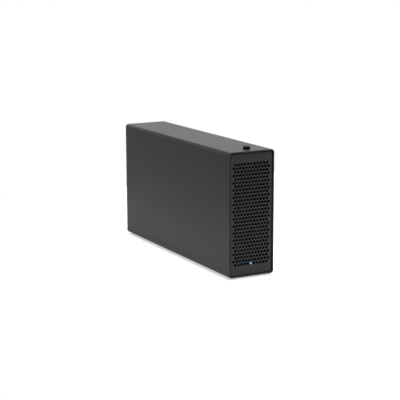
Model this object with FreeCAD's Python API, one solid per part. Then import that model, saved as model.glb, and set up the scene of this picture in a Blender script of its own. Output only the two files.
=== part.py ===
import FreeCAD, Part
import math
import os

# An expansion chassis for one plug-in card: a folded metal sleeve with a perforated front, and an inner
# chassis with the fan, the board and the rear panel, which slides out of the back once the thumbscrew
# on top is slackened.
# Millimetres. X is to the right seen from the front, Y runs towards the back and Z is up.
# The origin is under the middle of the sleeve, on the surface that the feet stand on.

# Sleeve, a closed wrap of sheet that is open at the front and at the back
SLEEVE_W = 60.0
SLEEVE_H = 147.5
SLEEVE_D = 280.0
SLEEVE_WALL = 1.5
SLEEVE_BEND = 4.0          # outer radius of the four long bends

# Rubber feet under the sleeve
FOOT_R = 5.0
FOOT_H = 2.0
FOOT_INSET_X = 13.0        # from the sleeve's side to the foot's middle
FOOT_INSET_Y = 24.0        # from the sleeve's end to the foot's middle

# Perforated front panel, a pressed sheet with a rim turned back all round
PANEL_SHEET = 1.2
PANEL_RECESS = 1.0         # its face lies this far behind the sleeve's front edge
PANEL_GAP = 0.15           # between its rim and the inside of the sleeve
PANEL_BEND = 1.6           # outer radius from the face into the rim
PANEL_RIM = 7.0            # depth of the rim, from the face
HOLE_D = 3.5
HOLE_PITCH = 4.2           # along a row
ROW_PITCH = 4.2            # from row to row, each shifted by half a pitch
HOLE_SIDES = 4             # few sides, because there are hundreds of holes; more sides make them rounder
FIELD_MARGIN_X = 6.8       # from the sleeve's side to the outermost hole's middle, at least
FIELD_MARGIN_Z = 14.9      # from the sleeve's top and bottom to the outermost row, at least
PANEL_SCREW_X = 15.0       # from the middle to each screw that holds the panel from below

# Thumbscrew on top, and the clamp nut under the chassis's latch plate
THUMB_SETBACK = 12.5       # from the sleeve's front edge to the screw's axis
THUMB_HEAD_R = 4.2
THUMB_HEAD_H = 3.8
THUMB_COLLAR_R = 3.8
THUMB_COLLAR_H = 0.4
THUMB_TEETH = 20           # straight knurl round the head
THUMB_TOOTH = 0.3          # depth of the knurl
THUMB_R = 1.95             # outside of the thread
THUMB_LENGTH = 10.5        # below the head
THUMB_HOLE_ROOM = 0.3      # round the thread in the sleeve
NUT_W = 12.0
NUT_T = 3.0
NUT_BACK = 5.0             # behind the screw's axis
NUT_ROOM = 0.4             # to the panel, whose back keeps the nut from turning
RUN_CLEAR = 0.05           # between a shaft or a thread and what it turns in
CLAMP_GAP = 0.1            # between the faces that the thumbscrew pulls together

# Inner chassis: tray, fan bracket and rear panel, all of one sheet gauge
CHASSIS_SHEET = 1.2
CHASSIS_BEND = 0.6         # inner radius of the small folds
TRAY_SIDE_ROOM = 0.8       # from the tray's side to the inside of the sleeve
TRAY_SIDE_H = 14.0         # height of the tray's two sides
TRAY_BACK_H = 7.0          # height of the tray's rear flange
TRAY_NEST = 0.2            # between the tray's side and what stands inside it
BRACKET_SETBACK = 21.8     # from the sleeve's front edge to the fan bracket's face
BRACKET_BASE = 12.0        # length of the foot that is screwed to the tray
BRACKET_SIDE = 8.0         # depth of its stiffening sides
BRACKET_TOP_ROOM = 8.5     # from the top of the upright to the inside of the sleeve
LATCH_W = 30.0             # width of the angle plate under the thumbscrew
LATCH_DROP = 24.0          # how far it reaches down behind the bracket
LATCH_RIM_ROOM = 0.5       # from the latch plate to the front panel's rim
LATCH_SLOT_ROOM = 0.75     # round the thread in the latch plate's slot
REAR_RECESS = 14.0         # from the sleeve's back edge to the rear panel's face
REAR_ROOM = 0.5            # from the rear panel to the inside of the sleeve
REAR_SIDE = 8.0            # depth of its stiffening sides and top
FOLD_RELIEF = 0.5          # cut beside a fold, so that the sheet doesn't tear

# Axial fan behind its bracket
FAN_SIDE_ROOM = 5.0        # from the fan's frame to the outside of the sleeve
FAN_DEPTH = 15.0
FAN_RING = 1.5             # from the frame's side to its bore
FAN_FLANGE = 3.5           # thickness of the frame's two square flanges
FAN_DUCT = 1.2             # wall of the round duct between them
FAN_CORNER = 3.0
FAN_HOLE_INSET = 5.0       # from the frame's side to a screw hole
FAN_MOUNT = 2.0            # thickness of the motor plate and its struts
FAN_STRUT_W = 3.0
FAN_STRUTS = 4
FAN_TIP_ROOM = 0.8         # from a blade's tip to the bore
HUB_R = 10.0
HUB_ROOM = 0.8             # from the hub to the frame's front and to the motor plate
SHAFT_R = 1.0
BLADES = 7
BLADE_CHORD = 13.0
BLADE_PITCH = 38.0         # degrees from the plane of rotation
BLADE_SAG = 1.8            # height of the blade's curve over its chord
BLADE_FLATS = 5            # flats that make up the curve on each face of a blade
BLADE_T = 1.1
BLADE_ROOT = 2.5           # how far a blade starts inside the hub

# Board on its standoffs
STANDOFF_H = 6.0
STANDOFF_FLATS = 5.0
BOARD_T = 1.6
BOARD_LEAD = 15.3          # how far the board reaches ahead of the card connector
BOARD_SIDE_ROOM = 1.0      # from the board to the inside of the tray
BOARD_BACK_ROOM = 2.3      # from the board to the inside of the rear panel
BOARD_HOLE_INSET = 4.5     # from the board's sides to a mounting hole
BOARD_HOLE_FRONT = 6.0
BOARD_HOLE_BACK = 20.0

# Card connector, and the standard places of a card's bracket relative to the board
CARD_SIDE_ROOM = 7.5       # from the inside of the tray to the card's middle plane
SLOT_L = 89.0
SLOT_W = 7.5
SLOT_H = 11.2
SLOT_GROOVE = 1.8
SLOT_GROOVE_DEPTH = 8.0
SLOT_END_WALL = 1.8
SLOT_KEY_AT = 13.0         # from the connector's back end to its key
SLOT_KEY = 1.8
SLOT_SETBACK = 48.0        # from the rear panel to the connector
COVER_T = 0.86
COVER_BEND = 0.4           # inner radius of the fold into the tab
COVER_W = 18.42
COVER_FLOOR_ROOM = 1.44    # from the tray to the lower end of the bracket, 120.02 long in all
COVER_TAB = 11.43
COVER_TONGUE_W = 10.2
COVER_TONGUE_L = 14.0
COVER_OFFSET = 5.8         # from the card's plane to the bracket's middle
SHELF_DROP = 22.2          # from the rear panel's top to the shelf that holds the bracket's tab
COVER_NOTCH_R = 2.2
COVER_NOTCH_AT = 6.4       # from the rear panel's inside to the screw in the tab
SHELF_W = 21.0
WINDOW_TOP_ROOM = 10.0     # from the opening above the shelf to the rear panel's top
APERTURE_W = 12.4
APERTURE_LOW = 8.0         # from the board's top to the lower end of the card's opening
APERTURE_HIGH = 8.0        # from the shelf to its upper end

# Sockets along the board's back edge
PORT_W = 8.94
PORT_H = 3.26
PORT_L = 9.0
PORT_WALL = 0.3
PORT_TONGUE_T = 0.7
PORT_TONGUE_W = 6.7
PORT_SPACING = 10.6
INLET_W = 9.0
INLET_H = 11.0
INLET_L = 14.0
INLET_BORE = 6.4
INLET_PIN = 2.0
INLET_DEPTH = 9.5
INLET_AXIS_H = 6.5         # from the board to the socket's axis
INLET_SIDE_ROOM = 0.7      # from the tray's side to the power socket
SOCKET_PROUD = 0.5         # how far the sockets stand out of the rear panel
CUTOUT_ROOM = 0.3          # round a socket in the rear panel

# Vent slots in the rear panel
VENT_W = 15.0
VENT_H = 3.2
VENT_PITCH = 6.4
VENT_LOW = 16.0            # from the board's top to the lowest slot
VENT_TOP_ROOM = 8.0        # from the highest slot to the rear panel's top

# Parts on the board
CHIP_SIZE = 11.0
CHIP_T = 1.2
CHIP_SIDE_ROOM = 18.5      # from the board's right side to the chip's middle
CHIP_SETBACK = 42.0        # from the board's back edge
SINK_SIZE = 24.0
SINK_BASE = 2.0
SINK_H = 9.0
SINK_FINS = 7
SINK_FIN_T = 1.0
CHOKE_SIZE = 7.0
CHOKE_H = 4.0
CHOKE_COUNT = 3
CAPACITOR_R = 3.15
CAPACITOR_H = 7.5
CAPACITOR_COUNT = 4
POWER_SIDE_ROOM = 8.5      # from the board's right side to the middle line of the power parts
POWER_PITCH = 10.0
CHOKE_SETBACK = 72.0       # from the board's back edge to the first choke
CAPACITOR_SETBACK = 103.0  # from the board's back edge to the first capacitor
HEADER_L = 10.2
HEADER_W = 5.8
HEADER_H = 6.5
HEADER_WALL = 0.8
HEADER_X = 4.0
HEADER_SETBACK = 8.0       # from the board's front edge

# Power light: a clear rod from the light on the bracket to the middle hole of the lowest row
LIGHT_R = 1.45
LIGHT_FLANGE_R = 2.4
LIGHT_FLANGE_T = 1.2
LIGHT_HOLE_ROOM = 0.3
LIGHT_ENTRY = 0.4          # how far the rod reaches into the bracket
LED_SIZE = 1.6
LED_T = 0.6
LED_BOARD_W = 12.0
LED_BOARD_H = 8.0
LED_BOARD_T = 1.2

# Screws
SCREW_R = 1.45
SCREW_HEAD_R = 2.75
SCREW_HEAD_H = 1.8
SUNK_HEAD_H = 0.9          # head of the flat screws that are let into the sleeve's floor
SCREW_TIP = 1.0            # how far a screw's end stands out of the last sheet
SCREW_ROOM = 0.1           # round a screw in its hole
SCREW_SIDES = 6            # few sides, because the screws are small and many
ROUND_SIDES = 12           # sides of other small round pieces
BORE_SIDES = 32            # sides of the fan's bore and of its hub
FAN_SCREW_R = 1.9
FAN_SCREW_L = 8.0
BOARD_SCREW_L = 5.0
SHEET_SCREW_L = 5.0
REAR_SCREW_SIDE = 8.0      # from the sleeve's side to a screw of the rear panel
REAR_SCREW_UP = 4.2        # above the tray's underside
BRACKET_SCREW_X = 15.0

X = FreeCAD.Vector(1, 0, 0)
Y = FreeCAD.Vector(0, 1, 0)
Z = FreeCAD.Vector(0, 0, 1)

# Planes and lines that the pieces share
FRONT_Y = -SLEEVE_D / 2
BACK_Y = SLEEVE_D / 2
TOP_Z = FOOT_H + SLEEVE_H
MIDDLE_Z = FOOT_H + SLEEVE_H / 2
INNER_X = SLEEVE_W / 2 - SLEEVE_WALL
FLOOR_Z = FOOT_H + SLEEVE_WALL
ROOF_Z = TOP_Z - SLEEVE_WALL
INNER_BEND = SLEEVE_BEND - SLEEVE_WALL

FACE_Y = FRONT_Y + PANEL_RECESS
PANEL_BACK_Y = FACE_Y + PANEL_SHEET
RIM_END_Y = FACE_Y + PANEL_RIM
PANEL_X = INNER_X - PANEL_GAP
PANEL_SCREW_Y = (PANEL_BACK_Y + RIM_END_Y) / 2
FIELD_X = SLEEVE_W / 2 - FIELD_MARGIN_X
ROWS = int((SLEEVE_H - 2 * FIELD_MARGIN_Z) / ROW_PITCH) + 1
LOWEST_ROW_Z = MIDDLE_Z - (ROWS - 1) / 2 * ROW_PITCH

THUMB_Y = FRONT_Y + THUMB_SETBACK
LATCH_TOP_Z = ROOF_Z - CLAMP_GAP
LATCH_UNDER_Z = LATCH_TOP_Z - CHASSIS_SHEET
LATCH_TIP_Y = RIM_END_Y + LATCH_RIM_ROOM

TRAY_X = INNER_X - TRAY_SIDE_ROOM
TRAY_IN_X = TRAY_X - CHASSIS_SHEET
TRAY_TOP_Z = FLOOR_Z + CHASSIS_SHEET
TRAY_SIDE_TOP_Z = FLOOR_Z + TRAY_SIDE_H
BRACKET_X = TRAY_IN_X - TRAY_NEST
BRACKET_Y = FRONT_Y + BRACKET_SETBACK
BRACKET_BACK_Y = BRACKET_Y + CHASSIS_SHEET
BRACKET_TOP_Z = ROOF_Z - BRACKET_TOP_ROOM
REAR_OUT_Y = BACK_Y - REAR_RECESS
REAR_IN_Y = REAR_OUT_Y - CHASSIS_SHEET
REAR_X = INNER_X - REAR_ROOM
REAR_SCREW_X = SLEEVE_W / 2 - REAR_SCREW_SIDE
REAR_TOP_Z = ROOF_Z - REAR_ROOM
REAR_LOW_Z = FLOOR_Z + REAR_ROOM
FOLD_OUT = CHASSIS_BEND + CHASSIS_SHEET

FAN_SIZE = SLEEVE_W - 2 * FAN_SIDE_ROOM
FAN_FRONT_Y = BRACKET_BACK_Y
FAN_BACK_Y = FAN_FRONT_Y + FAN_DEPTH
FAN_Z = MIDDLE_Z
FAN_BORE_R = FAN_SIZE / 2 - FAN_RING
FAN_HOLE_AT = FAN_SIZE / 2 - FAN_HOLE_INSET
HUB_FRONT_Y = FAN_FRONT_Y + HUB_ROOM
MOUNT_Y = FAN_BACK_Y - FAN_MOUNT
HUB_BACK_Y = MOUNT_Y - HUB_ROOM

BOARD_LOW_Z = TRAY_TOP_Z + STANDOFF_H
BOARD_TOP_Z = BOARD_LOW_Z + BOARD_T
BOARD_X = TRAY_IN_X - BOARD_SIDE_ROOM
BOARD_BACK_Y = REAR_IN_Y - BOARD_BACK_ROOM
SLOT_BACK_Y = REAR_IN_Y - SLOT_SETBACK
SLOT_FRONT_Y = SLOT_BACK_Y - SLOT_L
BOARD_FRONT_Y = SLOT_FRONT_Y - BOARD_LEAD
CARD_X = CARD_SIDE_ROOM - TRAY_IN_X
COVER_X = CARD_X + COVER_OFFSET
POWER_PARTS_X = BOARD_X - POWER_SIDE_ROOM
CHIP_X = BOARD_X - CHIP_SIDE_ROOM
SHELF_Z = REAR_TOP_Z - SHELF_DROP
COVER_TOP_Z = SHELF_Z + COVER_T
SOCKET_END_Y = REAR_OUT_Y + SOCKET_PROUD
INLET_X = TRAY_IN_X - INLET_SIDE_ROOM - INLET_W / 2
RIGHT_PORT_X = INLET_X - PORT_SPACING
LEFT_PORT_X = RIGHT_PORT_X - PORT_SPACING


def at(x, y, z):
    return FreeCAD.Vector(x, y, z)


def block(x, y, z):
    """A block that fills three spans, each given as a low and a high end."""
    return Part.makeBox(x[1] - x[0], y[1] - y[0], z[1] - z[0], at(x[0], y[0], z[0]))


def both_sides(half):
    return (-half, half)


def around(middle, size):
    return (middle - size / 2, middle + size / 2)


def soft_block(x, y, z, radius, axis):
    """A block whose four edges along one axis are rounded."""
    plain = block(x, y, z)
    edges = [edge for edge in plain.Edges if abs(edge.tangentAt(edge.FirstParameter).dot(axis)) > 0.9]
    return plain.makeFillet(radius, edges)


def rod(start, axis, radius, length):
    return Part.makeCylinder(radius, length, start, axis)


def prism(points, direction):
    """A straight prism on a closed polygon."""
    return Part.Face(Part.makePolygon(points + points[:1])).extrude(direction)


def ring_of_points(centre, axis, radius, sides):
    """The corners of a regular polygon round a centre, square to an axis."""
    side = Z if axis.dot(Z) == 0 else X
    across = axis.cross(side)
    angles = [2 * math.pi * (i + 0.5) / sides for i in range(sides)]
    return [centre + (side * math.cos(a) + across * math.sin(a)) * radius for a in angles]


def peg(start, axis, radius, length, sides=SCREW_SIDES):
    """A many-sided rod for a small round piece or its hole."""
    return prism(ring_of_points(start, axis, radius, sides), axis * length)


def bend(before, corner, after, gauge, radius):
    """The arcs of one fold on a sheet's two faces, each as its start, middle and end."""
    inward = (corner - before).normalize()
    onward = (after - corner).normalize()
    turn = 1 if inward.cross(onward).z > 0 else -1
    near_radius = radius + gauge if turn > 0 else radius
    reach = near_radius * math.tan(inward.getAngle(onward) / 2)
    left_in = FreeCAD.Vector(-inward.y, inward.x, 0)
    left_on = FreeCAD.Vector(-onward.y, onward.x, 0)
    start = corner - inward * reach
    end = corner + onward * reach
    centre = start + left_in * near_radius * turn
    out = (corner - centre).normalize()
    near = (start, centre + out * near_radius, end)
    far = (end + left_on * gauge, centre + out * (near_radius - gauge * turn), start + left_in * gauge)
    return near, far


def bent_sheet(outline, gauge, radius, axis, span):
    """A folded sheet: one face follows the outline, the other lies to its left, and it runs along an axis."""
    flat = [at(a, b, 0) for a, b in outline]
    folds = [bend(*flat[i - 1:i + 2], gauge, radius) for i in range(1, len(flat) - 1)]
    first = (flat[1] - flat[0]).normalize()
    last = (flat[-1] - flat[-2]).normalize()
    far_start = flat[0] + FreeCAD.Vector(-first.y, first.x, 0) * gauge
    far_end = flat[-1] + FreeCAD.Vector(-last.y, last.x, 0) * gauge
    runs = [(flat[0],)] + [near for near, far in folds] + [(flat[-1],), (far_end,)]
    runs += [far for near, far in reversed(folds)] + [(far_start,)]
    runs = [[lifted(point, axis, span[0]) for point in run] for run in runs]
    edges = []
    for i, run in enumerate(runs):
        if len(run) == 3:
            edges.append(Part.Arc(*run).toShape())
        edges.append(Part.LineSegment(run[-1], runs[(i + 1) % len(runs)][0]).toShape())
    return Part.Face(Part.Wire(edges)).extrude(axis * (span[1] - span[0]))


def lifted(point, axis, base):
    """A point of a flat outline, set in space across an axis."""
    if axis is X:
        return at(base, point.x, point.y)
    if axis is Y:
        return at(point.x, base, point.y)
    return at(point.x, point.y, base)


def join(first, *others):
    """One solid from pieces that share faces or overlap, without the seams."""
    return first.fuse(list(others)).removeSplitter()


def screw(seat, axis, length, radius=SCREW_R, head_radius=SCREW_HEAD_R):
    """A screw with a cylinder head: the head stands on the seat, and the shank runs along the axis."""
    head = peg(seat - axis * SCREW_HEAD_H, axis, head_radius, SCREW_HEAD_H)
    return join(head, peg(seat, axis, radius, length))


def outer_sleeve():
    lengthways = (FRONT_Y, BACK_Y)
    outside = soft_block(both_sides(SLEEVE_W / 2), lengthways, (FOOT_H, TOP_Z), SLEEVE_BEND, Y)
    inside = soft_block(both_sides(INNER_X), lengthways, (FLOOR_Z, ROOF_Z), INNER_BEND, Y)
    holes = [rod(at(0, THUMB_Y, ROOF_Z), Z, THUMB_R + THUMB_HOLE_ROOM, SLEEVE_WALL)]
    holes += [sunk_screw(x, SCREW_ROOM) for x in both_sides(PANEL_SCREW_X)]
    return outside.cut([inside] + holes)


def sunk_screw(x, room):
    """A flat screw up through the sleeve's floor into the panel's rim or, with room round it, its hole."""
    low = at(x, PANEL_SCREW_Y, FOOT_H)
    length = SLEEVE_WALL + PANEL_GAP + PANEL_SHEET + SCREW_TIP
    head = peg(low, Z, SCREW_HEAD_R + room, SUNK_HEAD_H)
    return join(head, peg(low, Z, SCREW_R + room, length))


def foot(x, y):
    return peg(at(x, y, 0), Z, FOOT_R, FOOT_H, ROUND_SIDES)


def hole_centres():
    """The staggered field of holes: every second row is shifted by half a pitch."""
    centres = []
    for row in range(ROWS):
        shift = HOLE_PITCH / 2 * (row % 2)
        most = int((FIELD_X - shift) / HOLE_PITCH)
        columns = range(-most - row % 2, most + 1)
        centres += [(shift + column * HOLE_PITCH, LOWEST_ROW_Z + row * ROW_PITCH) for column in columns]
    return centres


def hole_tool(x, z):
    """A polygon with the area of the round hole, through the panel's sheet."""
    share = HOLE_SIDES / (2 * math.pi) * math.sin(2 * math.pi / HOLE_SIDES)
    reach = HOLE_D / 2 / math.sqrt(share)
    return prism(ring_of_points(at(x, FACE_Y, z), Y, reach, HOLE_SIDES), Y * PANEL_SHEET)


def front_panel():
    upright = (FLOOR_Z + PANEL_GAP, ROOF_Z - PANEL_GAP)
    outside = soft_block(both_sides(PANEL_X), (FACE_Y, RIM_END_Y), upright, INNER_BEND - PANEL_GAP, Y)
    outside = outside.makeFillet(PANEL_BEND, edges_at(outside, FACE_Y))
    within = (upright[0] + PANEL_SHEET, upright[1] - PANEL_SHEET)
    corner = INNER_BEND - PANEL_GAP - PANEL_SHEET
    inside = soft_block(both_sides(PANEL_X - PANEL_SHEET), (PANEL_BACK_Y, RIM_END_Y), within, corner, Y)
    lamp = (0, LOWEST_ROW_Z)
    holes = [hole_tool(x, z) for x, z in hole_centres() if (x, z) != lamp]
    holes.append(peg(at(0, FACE_Y, LOWEST_ROW_Z), Y, HOLE_D / 2, PANEL_SHEET, ROUND_SIDES))
    holes += [sunk_screw(x, SCREW_ROOM) for x in both_sides(PANEL_SCREW_X)]
    return outside.cut(inside).cut(holes)


def edges_at(shape, y):
    """The edges that lie wholly in the plane at a given Y."""
    return [edge for edge in shape.Edges if abs(edge.BoundBox.YMin - y) + abs(edge.BoundBox.YMax - y) < 1e-4]


def panel_screws():
    return Part.Compound([sunk_screw(x, 0) for x in both_sides(PANEL_SCREW_X)])


def thumbscrew():
    knurl_z = TOP_Z + THUMB_COLLAR_H
    points = []
    for i in range(2 * THUMB_TEETH):
        radius = THUMB_HEAD_R - THUMB_TOOTH * (i % 2)
        angle = math.pi * i / THUMB_TEETH
        points.append(at(radius * math.cos(angle), THUMB_Y + radius * math.sin(angle), knurl_z))
    head = prism(points, Z * (THUMB_HEAD_H - THUMB_COLLAR_H))
    collar = peg(at(0, THUMB_Y, TOP_Z), Z, THUMB_COLLAR_R, THUMB_COLLAR_H, ROUND_SIDES)
    thread = rod(at(0, THUMB_Y, TOP_Z - THUMB_LENGTH), Z, THUMB_R, THUMB_LENGTH)
    return join(head, collar, thread)


def clamp_nut():
    top = LATCH_UNDER_Z - CLAMP_GAP
    lengthways = (PANEL_BACK_Y + NUT_ROOM, THUMB_Y + NUT_BACK)
    plate = block(both_sides(NUT_W / 2), lengthways, (top - NUT_T, top))
    return plate.cut(rod(at(0, THUMB_Y, top - NUT_T), Z, THUMB_R + RUN_CLEAR, NUT_T))


def tray():
    sides = [(-TRAY_X, TRAY_SIDE_TOP_Z), (-TRAY_X, FLOOR_Z), (TRAY_X, FLOOR_Z), (TRAY_X, TRAY_SIDE_TOP_Z)]
    trough_end = REAR_IN_Y - FOLD_OUT
    trough = bent_sheet(sides, CHASSIS_SHEET, INNER_BEND - CHASSIS_SHEET, Y, (BRACKET_Y, trough_end))
    flange = [(trough_end - FOLD_OUT, FLOOR_Z), (REAR_IN_Y, FLOOR_Z), (REAR_IN_Y, FLOOR_Z + TRAY_BACK_H)]
    width = both_sides(TRAY_X - INNER_BEND - FOLD_RELIEF)
    back = bent_sheet(flange, CHASSIS_SHEET, CHASSIS_BEND, X, width)
    tongue_x = around(COVER_X, COVER_TONGUE_W + 2 * FOLD_RELIEF)
    notch = block(tongue_x, (trough_end, REAR_IN_Y), (TRAY_TOP_Z, BOARD_TOP_Z))
    holes = [peg(at(x, y, FLOOR_Z), Z, SCREW_R, CHASSIS_SHEET) for x, y in bracket_screw_places()]
    screw_z = FLOOR_Z + REAR_SCREW_UP
    holes += [peg(at(x, trough_end, screw_z), Y, SCREW_R, FOLD_OUT) for x in both_sides(REAR_SCREW_X)]
    return join(trough, back).cut([notch] + holes)


def bracket_screw_places():
    y = BRACKET_BACK_Y + (BRACKET_BASE - CHASSIS_SHEET) / 2
    return [(x, y) for x in both_sides(BRACKET_SCREW_X)]


def fan_corners():
    return [(x, FAN_Z + z) for x in both_sides(FAN_HOLE_AT) for z in both_sides(FAN_HOLE_AT)]


def fan_bracket():
    base = [(BRACKET_Y, BRACKET_TOP_Z), (BRACKET_Y, TRAY_TOP_Z), (BRACKET_Y + BRACKET_BASE, TRAY_TOP_Z)]
    upright = bent_sheet(base, CHASSIS_SHEET, CHASSIS_BEND, X, both_sides(BRACKET_X - FOLD_OUT))
    front = BRACKET_BACK_Y - BRACKET_SIDE
    back = BRACKET_BACK_Y
    wrap = [(BRACKET_X, front), (BRACKET_X, back), (-BRACKET_X, back), (-BRACKET_X, front)]
    tall = (TRAY_TOP_Z + FOLD_OUT + FOLD_RELIEF, BRACKET_TOP_Z)
    sides = bent_sheet(wrap, CHASSIS_SHEET, CHASSIS_BEND, Z, tall)
    holes = [peg(at(0, BRACKET_Y, FAN_Z), Y, FAN_BORE_R, CHASSIS_SHEET, BORE_SIDES)]
    holes.append(peg(at(0, BRACKET_Y, LOWEST_ROW_Z), Y, LIGHT_R + SCREW_ROOM, CHASSIS_SHEET, ROUND_SIDES))
    hole_r = FAN_SCREW_R + SCREW_ROOM
    holes += [peg(at(x, BRACKET_Y, z), Y, hole_r, CHASSIS_SHEET) for x, z in fan_corners()]
    hole_r = SCREW_R + SCREW_ROOM
    holes += [peg(at(x, y, TRAY_TOP_Z), Z, hole_r, CHASSIS_SHEET) for x, y in bracket_screw_places()]
    return join(upright, sides).cut(holes)


def latch_plate():
    """An angle welded behind the bracket, with a slotted flange round the thumbscrew, under the roof."""
    leg_y = BRACKET_BACK_Y + CHASSIS_SHEET
    hook = [(leg_y, LATCH_TOP_Z - LATCH_DROP), (leg_y, LATCH_TOP_Z), (LATCH_TIP_Y, LATCH_TOP_Z)]
    plate = bent_sheet(hook, CHASSIS_SHEET, CHASSIS_BEND, X, both_sides(LATCH_W / 2))
    slot_r = THUMB_R + LATCH_SLOT_ROOM
    slot_end = rod(at(0, THUMB_Y, LATCH_UNDER_Z), Z, slot_r, CHASSIS_SHEET)
    slot = block(both_sides(slot_r), (LATCH_TIP_Y, THUMB_Y), (LATCH_UNDER_Z, LATCH_TOP_Z))
    return plate.cut([slot_end, slot])


def bracket_screws():
    seat = TRAY_TOP_Z + CHASSIS_SHEET
    length = 2 * CHASSIS_SHEET
    return Part.Compound([screw(at(x, y, seat), -Z, length) for x, y in bracket_screw_places()])


def fan_frame():
    depth = (FAN_FRONT_Y, FAN_BACK_Y)
    body = soft_block(both_sides(FAN_SIZE / 2), depth, around(FAN_Z, FAN_SIZE), FAN_CORNER, Y)
    between = (FAN_FRONT_Y + FAN_FLANGE, FAN_BACK_Y - FAN_FLANGE)
    duct = peg(at(0, between[0], FAN_Z), Y, FAN_BORE_R + FAN_DUCT, between[1] - between[0], BORE_SIDES)
    waist = block(both_sides(FAN_SIZE / 2), between, around(FAN_Z, FAN_SIZE)).cut(duct)
    bore = peg(at(0, FAN_FRONT_Y, FAN_Z), Y, FAN_BORE_R, FAN_DEPTH, BORE_SIDES)
    holes = [peg(at(x, FAN_FRONT_Y, z), Y, FAN_SCREW_R + SCREW_ROOM, FAN_DEPTH) for x, z in fan_corners()]
    reach = (0, FAN_BORE_R + FAN_RING / 2)
    strut = block(reach, (MOUNT_Y, FAN_BACK_Y), around(FAN_Z, FAN_STRUT_W))
    struts = [turned(strut, 360 / FAN_STRUTS * (i + 0.5)) for i in range(FAN_STRUTS)]
    plate = peg(at(0, MOUNT_Y, FAN_Z), Y, HUB_R, FAN_MOUNT, BORE_SIDES)
    shaft_hole = rod(at(0, MOUNT_Y, FAN_Z), Y, SHAFT_R + RUN_CLEAR, FAN_MOUNT)
    return join(body.cut([waist, bore] + holes), plate, *struts).cut(shaft_hole)


def turned(shape, degrees):
    """A copy turned about the fan's axis."""
    copy = shape.copy()
    copy.rotate(at(0, 0, FAN_Z), Y, degrees)
    return copy


def fan_blade():
    """A blade along X: a thin curved section, set at the pitch, that runs from inside the hub to the tip."""
    start = at(HUB_R - BLADE_ROOT, (HUB_FRONT_Y + HUB_BACK_Y) / 2, FAN_Z)
    along = at(0, math.sin(math.radians(BLADE_PITCH)), math.cos(math.radians(BLADE_PITCH)))
    normal = at(0, along.z, -along.y)
    edge_a = start - along * BLADE_CHORD / 2
    edge_b = start + along * BLADE_CHORD / 2
    inner = Part.Arc(edge_a, start + normal * (BLADE_SAG - BLADE_T), edge_b).toShape()
    outer = Part.Arc(edge_b, start + normal * BLADE_SAG, edge_a).toShape()
    across = (abs(along.z) * BLADE_CHORD + BLADE_SAG) / 2
    tip = math.sqrt((FAN_BORE_R - FAN_TIP_ROOM) ** 2 - across ** 2)
    section = inner.discretize(BLADE_FLATS + 1) + outer.discretize(BLADE_FLATS + 1)[1:]
    return Part.Face(Part.makePolygon(section)).extrude(X * (tip - start.x))


def fan_rotor():
    hub = peg(at(0, HUB_FRONT_Y, FAN_Z), Y, HUB_R, HUB_BACK_Y - HUB_FRONT_Y, BORE_SIDES)
    shaft = rod(at(0, HUB_BACK_Y, FAN_Z), Y, SHAFT_R, FAN_BACK_Y - HUB_BACK_Y)
    blade = fan_blade()
    return join(hub, shaft, *[turned(blade, 360 / BLADES * i) for i in range(BLADES)])


def fan_screws():
    screws = [screw(at(x, BRACKET_Y, z), Y, FAN_SCREW_L, FAN_SCREW_R) for x, z in fan_corners()]
    return Part.Compound(screws)


def vent_slots():
    """Level slots beside the card's opening, as many as fit."""
    low = BOARD_TOP_Z + VENT_LOW
    count = int((REAR_TOP_Z - VENT_TOP_ROOM - VENT_H - low) / VENT_PITCH) + 1
    middle = (COVER_X + SHELF_W / 2 + REAR_X - FOLD_OUT) / 2
    through = (REAR_IN_Y, REAR_OUT_Y)
    starts = [low + i * VENT_PITCH for i in range(count)]
    return [block(around(middle, VENT_W), through, (start, start + VENT_H)) for start in starts]


def socket_cutouts():
    through = (REAR_IN_Y, REAR_OUT_Y)
    wide = PORT_W + 2 * CUTOUT_ROOM
    high = (BOARD_TOP_Z - CUTOUT_ROOM, BOARD_TOP_Z + PORT_H + CUTOUT_ROOM)
    cutouts = [block(around(x, wide), through, high) for x in (LEFT_PORT_X, RIGHT_PORT_X)]
    high = (BOARD_TOP_Z - CUTOUT_ROOM, BOARD_TOP_Z + INLET_H + CUTOUT_ROOM)
    return cutouts + [block(around(INLET_X, INLET_W + 2 * CUTOUT_ROOM), through, high)]


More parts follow.
